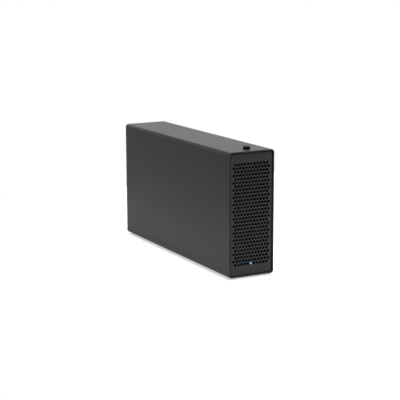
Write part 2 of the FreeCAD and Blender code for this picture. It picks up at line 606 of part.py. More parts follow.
def rear_panel():
    flat_x = REAR_X - FOLD_OUT
    side_low = TRAY_SIDE_TOP_Z + FOLD_RELIEF
    through = (REAR_IN_Y, REAR_OUT_Y)
    skirt = soft_block(both_sides(REAR_X), through, (REAR_LOW_Z, side_low - FOLD_RELIEF), FOLD_OUT, Y)
    crown = [(REAR_OUT_Y, REAR_LOW_Z), (REAR_OUT_Y, REAR_TOP_Z), (REAR_OUT_Y - REAR_SIDE, REAR_TOP_Z)]
    plate = bent_sheet(crown, CHASSIS_SHEET, CHASSIS_BEND, X, both_sides(flat_x))
    front = REAR_OUT_Y - REAR_SIDE
    wrap = [(REAR_X, front), (REAR_X, REAR_OUT_Y), (-REAR_X, REAR_OUT_Y), (-REAR_X, front)]
    sides = bent_sheet(wrap, CHASSIS_SHEET, CHASSIS_BEND, Z, (side_low, REAR_TOP_Z - FOLD_OUT))
    window_x = around(COVER_X, SHELF_W + 2 * FOLD_RELIEF)
    window = block(window_x, through, (SHELF_Z - FOLD_OUT, REAR_TOP_Z - WINDOW_TOP_ROOM))
    opening_z = (BOARD_TOP_Z + APERTURE_LOW, SHELF_Z - APERTURE_HIGH)
    opening = block(around(COVER_X, APERTURE_W), through, opening_z)
    shelf_out = REAR_IN_Y + COVER_TAB
    step = [(shelf_out, SHELF_Z), (REAR_IN_Y, SHELF_Z), (REAR_IN_Y, SHELF_Z - 2 * FOLD_OUT)]
    shelf = bent_sheet(step, CHASSIS_SHEET, CHASSIS_BEND, X, around(COVER_X, SHELF_W))
    low = [at(x, REAR_IN_Y, FLOOR_Z + REAR_SCREW_UP) for x in both_sides(REAR_SCREW_X)]
    holes = [peg(start, Y, SCREW_R + SCREW_ROOM, CHASSIS_SHEET) for start in low]
    under = at(COVER_X, REAR_IN_Y + COVER_NOTCH_AT, SHELF_Z - CHASSIS_SHEET)
    holes.append(peg(under, Z, SCREW_R, CHASSIS_SHEET))
    panel = join(plate, skirt, sides).cut([window, opening])
    return join(panel, shelf).cut(vent_slots() + socket_cutouts() + holes)


def rear_screws():
    z = FLOOR_Z + REAR_SCREW_UP
    return Part.Compound([screw(at(x, REAR_OUT_Y, z), -Y, SHEET_SCREW_L) for x in both_sides(REAR_SCREW_X)])


def slot_cover():
    """A blank card bracket: the plate, the tab turned out over the shelf, and the tongue behind the board."""
    inside = REAR_IN_Y - COVER_T
    tongue_z = TRAY_TOP_Z + COVER_FLOOR_ROOM
    plate_z = tongue_z + COVER_TONGUE_L
    hook = [(REAR_IN_Y + COVER_TAB, COVER_TOP_Z), (inside, COVER_TOP_Z), (inside, plate_z)]
    plate = bent_sheet(hook, COVER_T, COVER_BEND, X, around(COVER_X, COVER_W))
    tongue = block(around(COVER_X, COVER_TONGUE_W), (inside, REAR_IN_Y), (tongue_z, plate_z))
    screw_y = REAR_IN_Y + COVER_NOTCH_AT
    notch = rod(at(COVER_X, screw_y, SHELF_Z), Z, COVER_NOTCH_R, COVER_T)
    mouth = block((COVER_X, COVER_X + COVER_W), around(screw_y, 2 * COVER_NOTCH_R), (SHELF_Z, COVER_TOP_Z))
    return join(plate, tongue).cut([notch, mouth])


def slot_screw():
    seat = at(COVER_X, REAR_IN_Y + COVER_NOTCH_AT, COVER_TOP_Z)
    return screw(seat, -Z, COVER_T + CHASSIS_SHEET + SCREW_TIP, SCREW_R - SCREW_ROOM)


def board_holes():
    across = BOARD_X - BOARD_HOLE_INSET
    lengthways = (BOARD_FRONT_Y + BOARD_HOLE_FRONT, BOARD_BACK_Y - BOARD_HOLE_BACK)
    return [(x, y) for x in both_sides(across) for y in lengthways]


def main_board():
    plate = block(both_sides(BOARD_X), (BOARD_FRONT_Y, BOARD_BACK_Y), (BOARD_LOW_Z, BOARD_TOP_Z))
    return plate.cut([peg(at(x, y, BOARD_LOW_Z), Z, SCREW_R + SCREW_ROOM, BOARD_T) for x, y in board_holes()])


def standoff(x, y):
    base = at(x, y, TRAY_TOP_Z)
    hexagon = prism(ring_of_points(base, Z, STANDOFF_FLATS / math.sqrt(3), 6), Z * STANDOFF_H)
    return hexagon.cut(peg(base, Z, SCREW_R + RUN_CLEAR, STANDOFF_H))


def board_standoffs():
    return Part.Compound([standoff(x, y) for x, y in board_holes()])


def board_screws():
    return Part.Compound([screw(at(x, y, BOARD_TOP_Z), -Z, BOARD_SCREW_L) for x, y in board_holes()])


def card_slot():
    top = BOARD_TOP_Z + SLOT_H
    body = block(around(CARD_X, SLOT_W), (SLOT_FRONT_Y, SLOT_BACK_Y), (BOARD_TOP_Z, top))
    deep = (top - SLOT_GROOVE_DEPTH, top)
    key = SLOT_BACK_Y - SLOT_KEY_AT
    short = block(around(CARD_X, SLOT_GROOVE), (key + SLOT_KEY / 2, SLOT_BACK_Y - SLOT_END_WALL), deep)
    long = block(around(CARD_X, SLOT_GROOVE), (SLOT_FRONT_Y + SLOT_END_WALL, key - SLOT_KEY / 2), deep)
    return body.cut([short, long])


def data_port(x):
    """A small oval socket: a drawn shell with a tongue in the middle."""
    depth = (SOCKET_END_Y - PORT_L, SOCKET_END_Y)
    height = (BOARD_TOP_Z, BOARD_TOP_Z + PORT_H)
    oval = PORT_H / 2 - PORT_WALL
    shell = soft_block(around(x, PORT_W), depth, height, oval, Y)
    hollow_z = (height[0] + PORT_WALL, height[1] - PORT_WALL)
    floor_y = depth[0] + PORT_L / 4
    hollow = soft_block(around(x, PORT_W - 2 * PORT_WALL), (floor_y, depth[1]), hollow_z, oval - PORT_WALL, Y)
    middle = (height[0] + height[1]) / 2
    tongue = block(around(x, PORT_TONGUE_W), (floor_y, depth[1] - PORT_WALL), around(middle, PORT_TONGUE_T))
    return join(shell.cut(hollow), tongue)


def power_inlet():
    """A barrel socket: a moulded block with a round bore and a centre pin."""
    depth = (SOCKET_END_Y - INLET_L, SOCKET_END_Y)
    axis_z = BOARD_TOP_Z + INLET_AXIS_H
    body = block(around(INLET_X, INLET_W), depth, (BOARD_TOP_Z, BOARD_TOP_Z + INLET_H))
    bore = rod(at(INLET_X, depth[1] - INLET_DEPTH, axis_z), Y, INLET_BORE / 2, INLET_DEPTH)
    pin = rod(at(INLET_X, depth[1] - INLET_DEPTH, axis_z), Y, INLET_PIN / 2, INLET_DEPTH - INLET_PIN)
    return join(body.cut(bore), pin)


def chip_place():
    return CHIP_X, BOARD_BACK_Y - CHIP_SETBACK


def controller_chip():
    x, y = chip_place()
    return block(around(x, CHIP_SIZE), around(y, CHIP_SIZE), (BOARD_TOP_Z, BOARD_TOP_Z + CHIP_T))


def heat_sink():
    x, y = chip_place()
    low = BOARD_TOP_Z + CHIP_T
    base = block(around(x, SINK_SIZE), around(y, SINK_SIZE), (low, low + SINK_BASE))
    pitch = (SINK_SIZE - SINK_FIN_T) / (SINK_FINS - 1)
    first = x - SINK_SIZE / 2 + SINK_FIN_T / 2
    tall = (low + SINK_BASE, low + SINK_H)
    middles = [first + i * pitch for i in range(SINK_FINS)]
    fins = [block(around(middle, SINK_FIN_T), around(y, SINK_SIZE), tall) for middle in middles]
    return join(base, *fins)


def chokes():
    first = BOARD_BACK_Y - CHOKE_SETBACK
    tall = (BOARD_TOP_Z, BOARD_TOP_Z + CHOKE_H)
    places = [first - i * POWER_PITCH for i in range(CHOKE_COUNT)]
    across = around(POWER_PARTS_X, CHOKE_SIZE)
    return Part.Compound([block(across, around(y, CHOKE_SIZE), tall) for y in places])


def capacitors():
    first = BOARD_BACK_Y - CAPACITOR_SETBACK
    places = [at(POWER_PARTS_X, first - i * POWER_PITCH, BOARD_TOP_Z) for i in range(CAPACITOR_COUNT)]
    return Part.Compound([peg(place, Z, CAPACITOR_R, CAPACITOR_H, ROUND_SIDES) for place in places])


def fan_header():
    y = BOARD_FRONT_Y + HEADER_SETBACK
    top = BOARD_TOP_Z + HEADER_H
    body = block(around(HEADER_X, HEADER_L), around(y, HEADER_W), (BOARD_TOP_Z, top))
    inside_x = around(HEADER_X, HEADER_L - 2 * HEADER_WALL)
    return body.cut(block(inside_x, around(y, HEADER_W - 2 * HEADER_WALL), (BOARD_TOP_Z + HEADER_WALL, top)))


def light_pipe():
    start = FACE_Y + LIGHT_HOLE_ROOM
    length = BRACKET_Y + LIGHT_ENTRY - start
    stem = peg(at(0, start, LOWEST_ROW_Z), Y, LIGHT_R, length, ROUND_SIDES)
    seat = at(0, BRACKET_Y - LIGHT_FLANGE_T, LOWEST_ROW_Z)
    flange = peg(seat, Y, LIGHT_FLANGE_R, LIGHT_FLANGE_T, ROUND_SIDES)
    return join(stem, flange)


def led_board():
    thick = (BRACKET_BACK_Y, BRACKET_BACK_Y + LED_BOARD_T)
    return block(around(0, LED_BOARD_W), thick, around(LOWEST_ROW_Z, LED_BOARD_H))


def power_led():
    thick = (BRACKET_BACK_Y - LED_T, BRACKET_BACK_Y)
    return block(around(0, LED_SIZE), thick, around(LOWEST_ROW_Z, LED_SIZE))


def feet():
    """The four feet by name, one under each corner of the sleeve."""
    across = SLEEVE_W / 2 - FOOT_INSET_X
    along = SLEEVE_D / 2 - FOOT_INSET_Y
    corners = [(end, side) for end in ("front", "back") for side in ("left", "right")]
    sign = {"front": -1, "back": 1, "left": -1, "right": 1}
    return {f"foot_{end}_{side}": foot(sign[side] * across, sign[end] * along) for end, side in corners}


def pieces():
    """Every piece by its name, from the outside in."""
    made = {
        "outer_sleeve": outer_sleeve(),
        "front_panel": front_panel(),
        "panel_screws": panel_screws(),
        "thumbscrew": thumbscrew(),
        "clamp_nut": clamp_nut(),
        "tray": tray(),
        "fan_bracket": fan_bracket(),
        "latch_plate": latch_plate(),
        "bracket_screws": bracket_screws(),
        "fan_frame": fan_frame(),
        "fan_rotor": fan_rotor(),
        "fan_screws": fan_screws(),
        "rear_panel": rear_panel(),
        "rear_screws": rear_screws(),
        "slot_cover": slot_cover(),
        "slot_screw": slot_screw(),
        "main_board": main_board(),
        "board_standoffs": board_standoffs(),
        "board_screws": board_screws(),
        "card_slot": card_slot(),
        "data_port_left": data_port(LEFT_PORT_X),
        "data_port_right": data_port(RIGHT_PORT_X),
        "power_inlet": power_inlet(),
        "controller_chip": controller_chip(),
        "heat_sink": heat_sink(),
        "chokes": chokes(),
        "capacitors": capacitors(),
        "fan_header": fan_header(),
        "light_pipe": light_pipe(),
        "led_board": led_board(),
        "power_led": power_led(),
    }
    made.update(feet())
    return made


os.makedirs("parts", exist_ok=True)
for name, shape in pieces().items():
    shape.exportStep(f"parts/{name}.step")
    print(name, len(shape.Solids), round(shape.Volume), shape.isValid())
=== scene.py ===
# %% [markdown]
# # A dark grey expansion chassis
# The real object is a narrow metal box that stands beside a computer and holds one plug-in card.
# The solids come from CAD as a fixed frame. This lesson adds the studio, the finishes and the
# pieces whose fine shape shows: the folded sleeve, the perforated front, the knurled screw, the
# fan and the sockets.

# %% Load the frame
import math

import bmesh
import bpy
import numpy as np
from mathutils import Matrix, Vector


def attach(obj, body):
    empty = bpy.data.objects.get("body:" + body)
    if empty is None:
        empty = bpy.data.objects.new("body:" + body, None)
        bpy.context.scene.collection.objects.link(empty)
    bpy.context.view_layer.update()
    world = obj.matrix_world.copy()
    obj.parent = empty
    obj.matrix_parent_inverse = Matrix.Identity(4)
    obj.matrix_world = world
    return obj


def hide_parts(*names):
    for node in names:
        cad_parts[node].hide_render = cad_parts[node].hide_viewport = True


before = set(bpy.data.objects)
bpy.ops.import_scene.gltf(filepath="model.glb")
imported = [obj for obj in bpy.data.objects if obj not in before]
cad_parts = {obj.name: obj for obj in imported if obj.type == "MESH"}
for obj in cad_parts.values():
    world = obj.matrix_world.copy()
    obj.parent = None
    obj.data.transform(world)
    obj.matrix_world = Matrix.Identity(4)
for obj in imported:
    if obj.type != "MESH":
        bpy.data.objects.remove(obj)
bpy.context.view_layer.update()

MM = 0.001

# %% [markdown]
# ## The camera
# The photograph's perspective was worked out from the corners of the box. A long lens stands about
# 1.5 m away, to the left of the front and a little above, so the front, the left side and the top
# all show.

# %% Camera
LOOK, PLACE = (0.4617, 0.8651, -0.1961), (-0.6943, -1.3143, 0.3650)
LENS, SENSOR, TILT = 108.64, 36.0, math.radians(-0.184)
forward = Vector(LOOK).normalized()
level_right = forward.cross(Vector((0, 0, 1))).normalized()
level_up = level_right.cross(forward)
right = level_right * math.cos(TILT) + level_up * math.sin(TILT)
up = right.cross(forward)

camera = bpy.data.objects.new("camera", bpy.data.cameras.new("camera"))
camera.data.lens, camera.data.sensor_width = LENS, SENSOR
camera.matrix_world = Matrix((right, up, -forward)).transposed().to_4x4()
camera.location = PLACE
bpy.context.scene.collection.objects.link(camera)
bpy.context.scene.camera = camera
print("camera at", [round(v, 3) for v in camera.location])

# %% [markdown]
# ## Colours and nodes
# Colours are written as sRGB hex values, the way a colour chart gives them, and one function makes
# them linear. A second small function adds a shader node with its settings and its links, and
# everything else is built on it.

# %% Two helpers
def linear(hex_colour):
    """Each sRGB channel c becomes c / 12.92 below 0.04045, and ((c + 0.055) / 1.055) to the power
    2.4 above it."""
    c = np.array([int(hex_colour[i:i + 2], 16) for i in (1, 3, 5)]) / 255
    values = np.where(c <= 0.04045, c / 12.92, ((c + 0.055) / 1.055) ** 2.4)
    return (*values.tolist(), 1.0)


def add(tree, kind, links=None, **settings):
    """One node of a kind: its settings are set by name, and its inputs take a number, a colour or
    an output."""
    node = tree.nodes.new(kind)
    for name, value in settings.items():
        setattr(node, name, value)
    for name, value in (links or {}).items():
        if isinstance(value, bpy.types.NodeSocket):
            tree.links.new(value, node.inputs[name])
        else:
            node.inputs[name].default_value = value
    return node


print("dark grey in linear values:", [round(v, 3) for v in linear("#4a4a4c")])

# %% [markdown]
# ## The table
# The box stands on a white table. It throws light up at the upright faces, so they are brightest at
# the foot. The camera sees the table lifted to white, with a faint shadow left, and glossy and
# clear pieces show it in the same way.

# %% Table
TABLE = [(-0.16, -0.6, 0), (0.45, -0.6, 0), (0.45, 0.45, 0), (-0.16, 0.45, 0)]
TABLE_WHITE, TABLE_LIFT = "#f3f3f3", 0.6


def in_sight(tree):
    """The largest of three shares: 1 for a camera, glossy or transmission ray, and 0 for light."""
    path = add(tree, "ShaderNodeLightPath")
    seen = path.outputs["Is Camera Ray"]
    for ray in ("Is Glossy Ray", "Is Transmission Ray"):
        seen = add(tree, "ShaderNodeMath", {0: seen, 1: path.outputs[ray]},
                   operation="MAXIMUM").outputs[0]
    return seen


paper = bpy.data.materials.new("white_table")
sheet = bpy.data.meshes.new("white_table")
sheet.from_pydata(TABLE, [], [(0, 1, 2, 3)])
sheet.materials.append(paper)
stand = bpy.data.objects.new("white_table", sheet)
bpy.context.scene.collection.objects.link(stand)

paper.use_nodes = True
tree = paper.node_tree
tree.nodes.clear()
matte = add(tree, "ShaderNodeBsdfDiffuse", {"Color": linear(TABLE_WHITE)}).outputs[0]
lift = add(tree, "ShaderNodeEmission", {"Color": linear("#ffffff"), "Strength": TABLE_LIFT})
white = add(tree, "ShaderNodeAddShader", {0: matte, 1: lift.outputs[0]})
mixed = add(tree, "ShaderNodeMixShader", {0: in_sight(tree), 1: matte, 2: white.outputs[0]})
add(tree, "ShaderNodeOutputMaterial", {"Surface": mixed.outputs[0]})
print("table:", stand.name)

# %% [markdown]
# ## The room and the lamp
# The room is white to the eye, and the top of the box mirrors it at a flat angle, so it looks pale.
# The room itself throws hardly any light: nearly all of it comes from one wide soft lamp overhead.

# %% Room and lamp
ROOM_LIGHT, ROOM_WHITE = 0.05, 1.0
LAMP_PLACE, LAMP_TARGET = (0.05, -0.05, 1.6), (0.05, -0.049, 0.0)
LAMP_WIDTH, LAMP_LENGTH, LAMP_WATTS = 0.7, 1.4, 34.0

world = bpy.data.worlds.new("white_studio")
bpy.context.scene.world = world
world.use_nodes = True
tree = world.node_tree
tree.nodes.clear()
dim, bright = [add(tree, "ShaderNodeBackground", {"Color": linear("#ffffff"), "Strength": strength})
               for strength in (ROOM_LIGHT, ROOM_WHITE)]
mixed = add(tree, "ShaderNodeMixShader",
            {0: in_sight(tree), 1: dim.outputs[0], 2: bright.outputs[0]})
add(tree, "ShaderNodeOutputWorld", {"Surface": mixed.outputs[0]})

lamp = bpy.data.lights.new("overhead_softbox", "AREA")
lamp.shape = "RECTANGLE"
lamp.size, lamp.size_y, lamp.energy = LAMP_WIDTH, LAMP_LENGTH, LAMP_WATTS
holder = bpy.data.objects.new("overhead_softbox", lamp)
holder.location = LAMP_PLACE
aim = Vector(LAMP_TARGET) - Vector(LAMP_PLACE)
holder.rotation_euler = aim.to_track_quat("-Z", "Y").to_euler()
bpy.context.scene.collection.objects.link(holder)
bpy.context.scene.view_settings.view_transform = "Standard"
print("lamp:", holder.name, lamp.energy, "watts")

# %% [markdown]
# ## Finishes
# Each finish starts from what the real surface is and how it was made. A principled shader carries
# the even values on its own sockets, and noise on Object coordinates, sized in millimetres, adds
# what makes the surface look made.

# %% A blank finish
NOISE_LOW, NOISE_HIGH = 0.3, 0.7


def finish(name, hex_colour, roughness, metallic=0.0, ior=1.5):
    """A principled shader with its even values, the tree it is in, and the object's coordinates in
    millimetres."""
    material = bpy.data.materials.new(name)
    material.use_nodes = True
    tree = material.node_tree
    tree.nodes.clear()
    shader = add(tree, "ShaderNodeBsdfPrincipled",
                 {"Base Color": linear(hex_colour), "Roughness": roughness,
                  "Metallic": metallic, "IOR": ior})
    add(tree, "ShaderNodeOutputMaterial", {"Surface": shader.outputs[0]})
    place = add(tree, "ShaderNodeTexCoord")
    per_mm = add(tree, "ShaderNodeMapping",
                 {"Vector": place.outputs["Object"], "Scale": (1 / MM, 1 / MM, 1 / MM)})
    return material, tree, shader, per_mm.outputs[0]


def spread(tree, value, low, high):
    """A noise value stretched from its usual 0.3 to 0.7 onto a low and a high value, each a number
    or a hex colour."""
    limits = {"Value": value, "From Min": NOISE_LOW, "From Max": NOISE_HIGH}
    if isinstance(low, str):
        share = add(tree, "ShaderNodeMapRange", limits)
        ends = {0: share.outputs[0], 6: linear(low), 7: linear(high)}
        return add(tree, "ShaderNodeMix", ends, data_type="RGBA").outputs[2]
    return add(tree, "ShaderNodeMapRange", {**limits, "To Min": low, "To Max": high}).outputs[0]


print("noise is used from", NOISE_LOW, "to", NOISE_HIGH)

# %% [markdown]
# ## Powder coat
# The sleeve and the front are steel with a baked polyester skin. The eye sees an even dull grey
# with a very fine pebble and a soft sheen at a flat angle. The real pebble is about 0.3 mm and too
# fine to show, so it is drawn at 0.9 mm. The skin is matted and mirrors less than smooth plastic
# does, so its IOR starts from 1.5 and comes down to 1.18. Behind the front's face, in the grooves
# beside it and inside the walls the colour is painted near black. This is painted shade, where the
# box shades itself and the grooves lie in shadow, and it fades out towards the open back.

# %% Powder coat
PEBBLE, CLOUD, MIDDLE_Z = 0.9, 38.0, 75.75
WALL_SHADE = (29.4, 29.0)       # distance aside, from the outer skin to the painted shade inside
LID_SHADE = (73.1, 72.7)        # distance above or below the middle, in the same way
FACE_SHADE = (-137.95, -137.7)  # depth, across the back of the front's sheet
GROOVE_SHADE = (26.6, 27.3)          # distance aside, over which the painted shade comes 1 mm further forward, into the grooves
OPEN_BACK_FADE = (120.0, 60.0)      # depth, over which the painted shade fades out towards the open back

POWDER_AND_SHADE, tree, shader, mm = finish("powder_coat_with_painted_shade", "#4a4a4c", 0.46, 0.0, 1.18)
cloud = add(tree, "ShaderNodeTexNoise", {"Vector": mm, "Scale": 1 / CLOUD, "Detail": 2.0})
pebble = add(tree, "ShaderNodeTexNoise", {"Vector": mm, "Scale": 1 / PEBBLE, "Detail": 1.0})
spot = add(tree, "ShaderNodeSeparateXYZ", {0: mm})
aside = add(tree, "ShaderNodeMath", {0: spot.outputs[0]}, operation="ABSOLUTE")
groove = add(tree, "ShaderNodeMapRange",
             {"Value": aside.outputs[0], "From Min": GROOVE_SHADE[0], "From Max": GROOVE_SHADE[1]})
high = add(tree, "ShaderNodeMath", {0: spot.outputs[2], 1: -MIDDLE_Z}, operation="ADD")
high = add(tree, "ShaderNodeMath", {0: high.outputs[0]}, operation="ABSOLUTE")
deep = add(tree, "ShaderNodeMath", {0: spot.outputs[1], 1: groove.outputs[0]}, operation="ADD")
# painted shade mask: each share is 1 inside the box, and their product darkens the sheet there
shares = [add(tree, "ShaderNodeMapRange", {"Value": value, "From Min": start, "From Max": end})
          for value, (start, end) in ((aside.outputs[0], WALL_SHADE), (high.outputs[0], LID_SHADE),
                                      (deep.outputs[0], FACE_SHADE), (spot.outputs[1], OPEN_BACK_FADE))]
painted_shade = shares[0].outputs[0]
for share in shares[1:]:
    painted_shade = add(tree, "ShaderNodeMath", {0: painted_shade, 1: share.outputs[0]},
                 operation="MULTIPLY").outputs[0]
coat = spread(tree, cloud.outputs[0], "#48484a", "#4c4c4e")
# painted shade: the coat's grey turns near black where the mask is 1
coat = add(tree, "ShaderNodeMix", {0: painted_shade, 6: coat, 7: linear("#0d0d0e")}, data_type="RGBA")
tree.links.new(coat.outputs[2], shader.inputs["Base Color"])
tree.links.new(spread(tree, cloud.outputs[0], 0.43, 0.5), shader.inputs["Roughness"])
bump = add(tree, "ShaderNodeBump",
           {"Height": pebble.outputs[0], "Strength": 0.12, "Distance": 0.1 * MM})
tree.links.new(bump.outputs[0], shader.inputs["Normal"])
print("finish:", POWDER_AND_SHADE.name)

# %% [markdown]
# ## Plated and coated sheet
# The tray is zinc-plated sheet, a bluish bright grey with soft cloudy patches and rolling lines. A
# noise that is stretched along one axis gives the lines. The rear panel has the same baked skin as
# the sleeve, in black. The fan bracket has a thin black electro-coat that mirrors hardly anything,
# and its colour is painted far darker than that coat as painted shade, so nothing shows through the
# front's holes.

# %% Plated and coated sheet
ZINC, tree, shader, mm = finish("zinc_plated_steel_sheet", "#b4b8bb", 0.36, 1.0)
cloud = add(tree, "ShaderNodeTexNoise", {"Vector": mm, "Scale": 1 / 9, "Detail": 3.0})
stretch = add(tree, "ShaderNodeMapping", {"Vector": mm, "Scale": (1.0, 0.02, 1.0)})
lines = add(tree, "ShaderNodeTexNoise",
            {"Vector": stretch.outputs[0], "Scale": 1 / 0.8, "Detail": 2.0})
tree.links.new(spread(tree, cloud.outputs[0], "#a9adb1", "#bfc3c5"), shader.inputs["Base Color"])
tree.links.new(spread(tree, lines.outputs[0], 0.32, 0.42), shader.inputs["Roughness"])

BLACK_COAT, tree, shader, mm = finish("black_powder_coated_sheet", "#2f2f31", 0.5)
pebble = add(tree, "ShaderNodeTexNoise", {"Vector": mm, "Scale": 1 / PEBBLE, "Detail": 1.0})
tree.links.new(spread(tree, pebble.outputs[0], "#2b2b2d", "#343436"), shader.inputs["Base Color"])
bump = add(tree, "ShaderNodeBump",
           {"Height": pebble.outputs[0], "Strength": 0.15, "Distance": 0.1 * MM})
tree.links.new(bump.outputs[0], shader.inputs["Normal"])

# partly the bracket's own black coat, partly painted shade: near black so the front's holes read
# dark
BLACK_AND_SHADE, tree, shader, mm = finish("black_coat_and_painted_shade", "#0b0b0c", 0.75, 0.0, 1.2)
grain = add(tree, "ShaderNodeTexNoise", {"Vector": mm, "Scale": 1 / 1.1, "Detail": 2.0})
tree.links.new(spread(tree, grain.outputs[0], "#090909", "#0e0e0f"), shader.inputs["Base Color"])
tree.links.new(spread(tree, grain.outputs[0], 0.7, 0.8), shader.inputs["Roughness"])
print("finishes:", ZINC.name, BLACK_COAT.name, BLACK_AND_SHADE.name)

# %% [markdown]
# ## Board laminate
# The boards are glass-epoxy laminate with a dark green solder mask: glossy, with paler copper
# traces under the mask. Traces run in bundles 1.3 mm apart, lengthways in one patch of about 16 mm
# and crossways in the next. Two brick patterns and a patchwork give this without an image. Traces
# are drawn 0.4 mm wide.

# %% Board laminate
TRACE_PITCH, TRACE_LENGTH, TRACE_PATCH = 1.3, 11.0, 16.0
TRACE_HALF = 0.2
LAMINATE, tree, shader, mm = finish("green_masked_glass_epoxy", "#123a24", 0.32)
crossways = add(tree, "ShaderNodeMapping", {"Vector": mm, "Rotation": (0, 0, math.pi / 2)})
patch = add(tree, "ShaderNodeTexVoronoi", {"Vector": mm, "Scale": 1 / TRACE_PATCH},
            distance="CHEBYCHEV")
pick = add(tree, "ShaderNodeSeparateXYZ", {0: patch.outputs["Color"]})
pick = add(tree, "ShaderNodeMath", {0: pick.outputs[0], 1: 0.5}, operation="GREATER_THAN")
runs = []
for place in (mm, crossways.outputs[0]):
    brick = add(tree, "ShaderNodeTexBrick",
                {"Vector": place, "Scale": 1.0, "Mortar Size": TRACE_HALF, "Mortar Smooth": 0.2,
                 "Brick Width": TRACE_LENGTH, "Row Height": TRACE_PITCH}, offset=0.37)
    runs.append(brick.outputs["Fac"])
trace = add(tree, "ShaderNodeMix", {0: pick.outputs[0], 2: runs[0], 3: runs[1]})
copper = add(tree, "ShaderNodeMix",
             {0: trace.outputs[0], 6: linear("#10331f"), 7: linear("#1b4c2f")}, data_type="RGBA")
tree.links.new(copper.outputs[2], shader.inputs["Base Color"])
bump = add(tree, "ShaderNodeBump",
           {"Height": trace.outputs[0], "Strength": 0.3, "Distance": 0.04 * MM})
tree.links.new(bump.outputs[0], shader.inputs["Normal"])
print("finish:", LAMINATE.name)

# %% [markdown]
# ## Small finishes
# The other finishes are plain: one grain in the gloss, in the colour or in both. A table holds
# their values, and one loop makes them. Metals show their grain in the gloss, moulded and fired
# ones in the colour.

# %% Small finishes
# name: colour, roughness, metallic, IOR, grain in mm, its detail, colour limits, gloss limits
GRAINED = {
    # black oxide on turned steel: nearly black and dull, with a fine uneven grain and a low IOR
    "black_oxide_turned_steel": ("#2a2a2c", 0.5, 0.0, 1.15, 0.7, 2.0, None, (0.62, 0.74)),
    # glass-filled PBT of fans and connectors: moulded matt and black, with faint flow patches
    "moulded_black_pbt": ("#1d1d1f", 0.48, 0.0, 1.18, 4.0, 3.0, ("#191919", "#242426"),
                          (0.42, 0.56)),
    # turned brass: a warm yellow with fine turning marks
    "turned_brass": ("#c9a860", 0.3, 1.0, 1.5, 1.2, 2.0, None, (0.24, 0.4)),
    # drawn aluminium: a pale grey can with a soft gloss
    "drawn_aluminium_can": ("#c9cccf", 0.3, 1.0, 1.5, 0.8, 2.0, None, (0.24, 0.38)),
    # nickel plate on a drawn shell: bright, a little warm
    "drawn_nickel_plated_shell": ("#c7c6c1", 0.24, 1.0, 1.5, 1.5, 2.0, None, (0.18, 0.32)),
    # gold plate on sprung contacts: a soft yellow gloss
    "gold_plated_contact": ("#d8b25c", 0.28, 1.0, 1.5, 0.6, 2.0, None, (0.22, 0.36)),
    # fired ceramic: brown and dull, no two chips quite alike
    "fired_ceramic_chip": ("#6b5a46", 0.5, 0.0, 1.5, 2.5, 2.0, ("#3a352f", "#8a7458"), None),
    # moulded nylon: a creamy white with faint flow patches
    "moulded_white_nylon": ("#e4e0d4", 0.42, 0.0, 1.5, 3.0, 2.0, ("#dcd8ca", "#ebe8de"), None),
    # moulded rubber: black and dull all over
    "moulded_black_rubber": ("#222222", 0.72, 0.0, 1.5, 0.8, 2.0, ("#1d1d1d", "#2a2a2a"), None),
}
made = []
for name, (colour, rough, metal, ior, size, detail, tints, gloss) in GRAINED.items():
    material, tree, shader, mm = finish(name, colour, rough, metal, ior)
    grain = add(tree, "ShaderNodeTexNoise", {"Vector": mm, "Scale": 1 / size, "Detail": detail})
    for socket, limits in (("Base Color", tints), ("Roughness", gloss)):
        if limits:
            tree.links.new(spread(tree, grain.outputs[0], *limits), shader.inputs[socket])
    made.append(material)
BLACK_OXIDE, PBT, BRASS, CAN, NICKEL, GILT, CERAMIC, NYLON, RUBBER = made

# Anodised extrusion: a dark grey metal with fine drawing lines along its length.
ANODISED, tree, shader, mm = finish("black_anodised_extrusion", "#26262a", 0.4, 0.5)
stretch = add(tree, "ShaderNodeMapping", {"Vector": mm, "Scale": (1.0, 0.05, 1.0)})
lines = add(tree, "ShaderNodeTexNoise",
            {"Vector": stretch.outputs[0], "Scale": 1 / 0.7, "Detail": 2.0})
tree.links.new(spread(tree, lines.outputs[0], 0.32, 0.5), shader.inputs["Roughness"])
print("small finishes:", len(made) + 1)

# %% [markdown]
# ## Lit acrylic
# The power light is an acrylic rod lit from behind. Its sides are tinted and dark, and the light
# leaves it at its domed front end. A ramp along Y keeps the glow to that end, and it fades from the
# axis to the rim, as it does on a real rod.

# %% Lit acrylic
LOWEST_Z, LIGHT_R, ROD_FRONT = 16.95, 1.45, -138.45
GLOW_DEPTH, GLOW_CORE = 0.15, 0.3
ACRYLIC, tree, shader, mm = finish("lit_acrylic_rod", "#16242c", 0.25, 0.0, 1.49)
along = add(tree, "ShaderNodeSeparateXYZ", {0: mm})
tip = add(tree, "ShaderNodeMapRange", {"Value": along.outputs[1], "From Min": ROD_FRONT + GLOW_DEPTH,
                                       "From Max": ROD_FRONT})
flat = add(tree, "ShaderNodeVectorMath", {0: mm, 1: (1, 0, 1), 2: (0, 0, -LOWEST_Z)},
           operation="MULTIPLY_ADD")
away = add(tree, "ShaderNodeVectorMath", {0: flat.outputs[0]}, operation="LENGTH")
fade = add(tree, "ShaderNodeMapRange",
           {"Value": away.outputs["Value"], "From Min": GLOW_CORE, "From Max": LIGHT_R})
light = add(tree, "ShaderNodeMix",
            {0: fade.outputs[0], 6: linear("#7cc8ec"), 7: linear("#3f8db2")}, data_type="RGBA")
glow = add(tree, "ShaderNodeMix",
           {0: tip.outputs[0], 6: linear("#000000"), 7: light.outputs[2]}, data_type="RGBA")
tree.links.new(glow.outputs[2], shader.inputs["Emission Color"])
shader.inputs["Emission Strength"].default_value = 1.0
print("finish:", ACRYLIC.name)

# %% [markdown]
# ## Surfaces from grids
# Every new piece is a surface: a function of two parameters worked out for a whole grid at once.
# One helper turns grids into a mesh, merges the seams, turns the faces outwards and makes the piece
# ride on its CAD body.

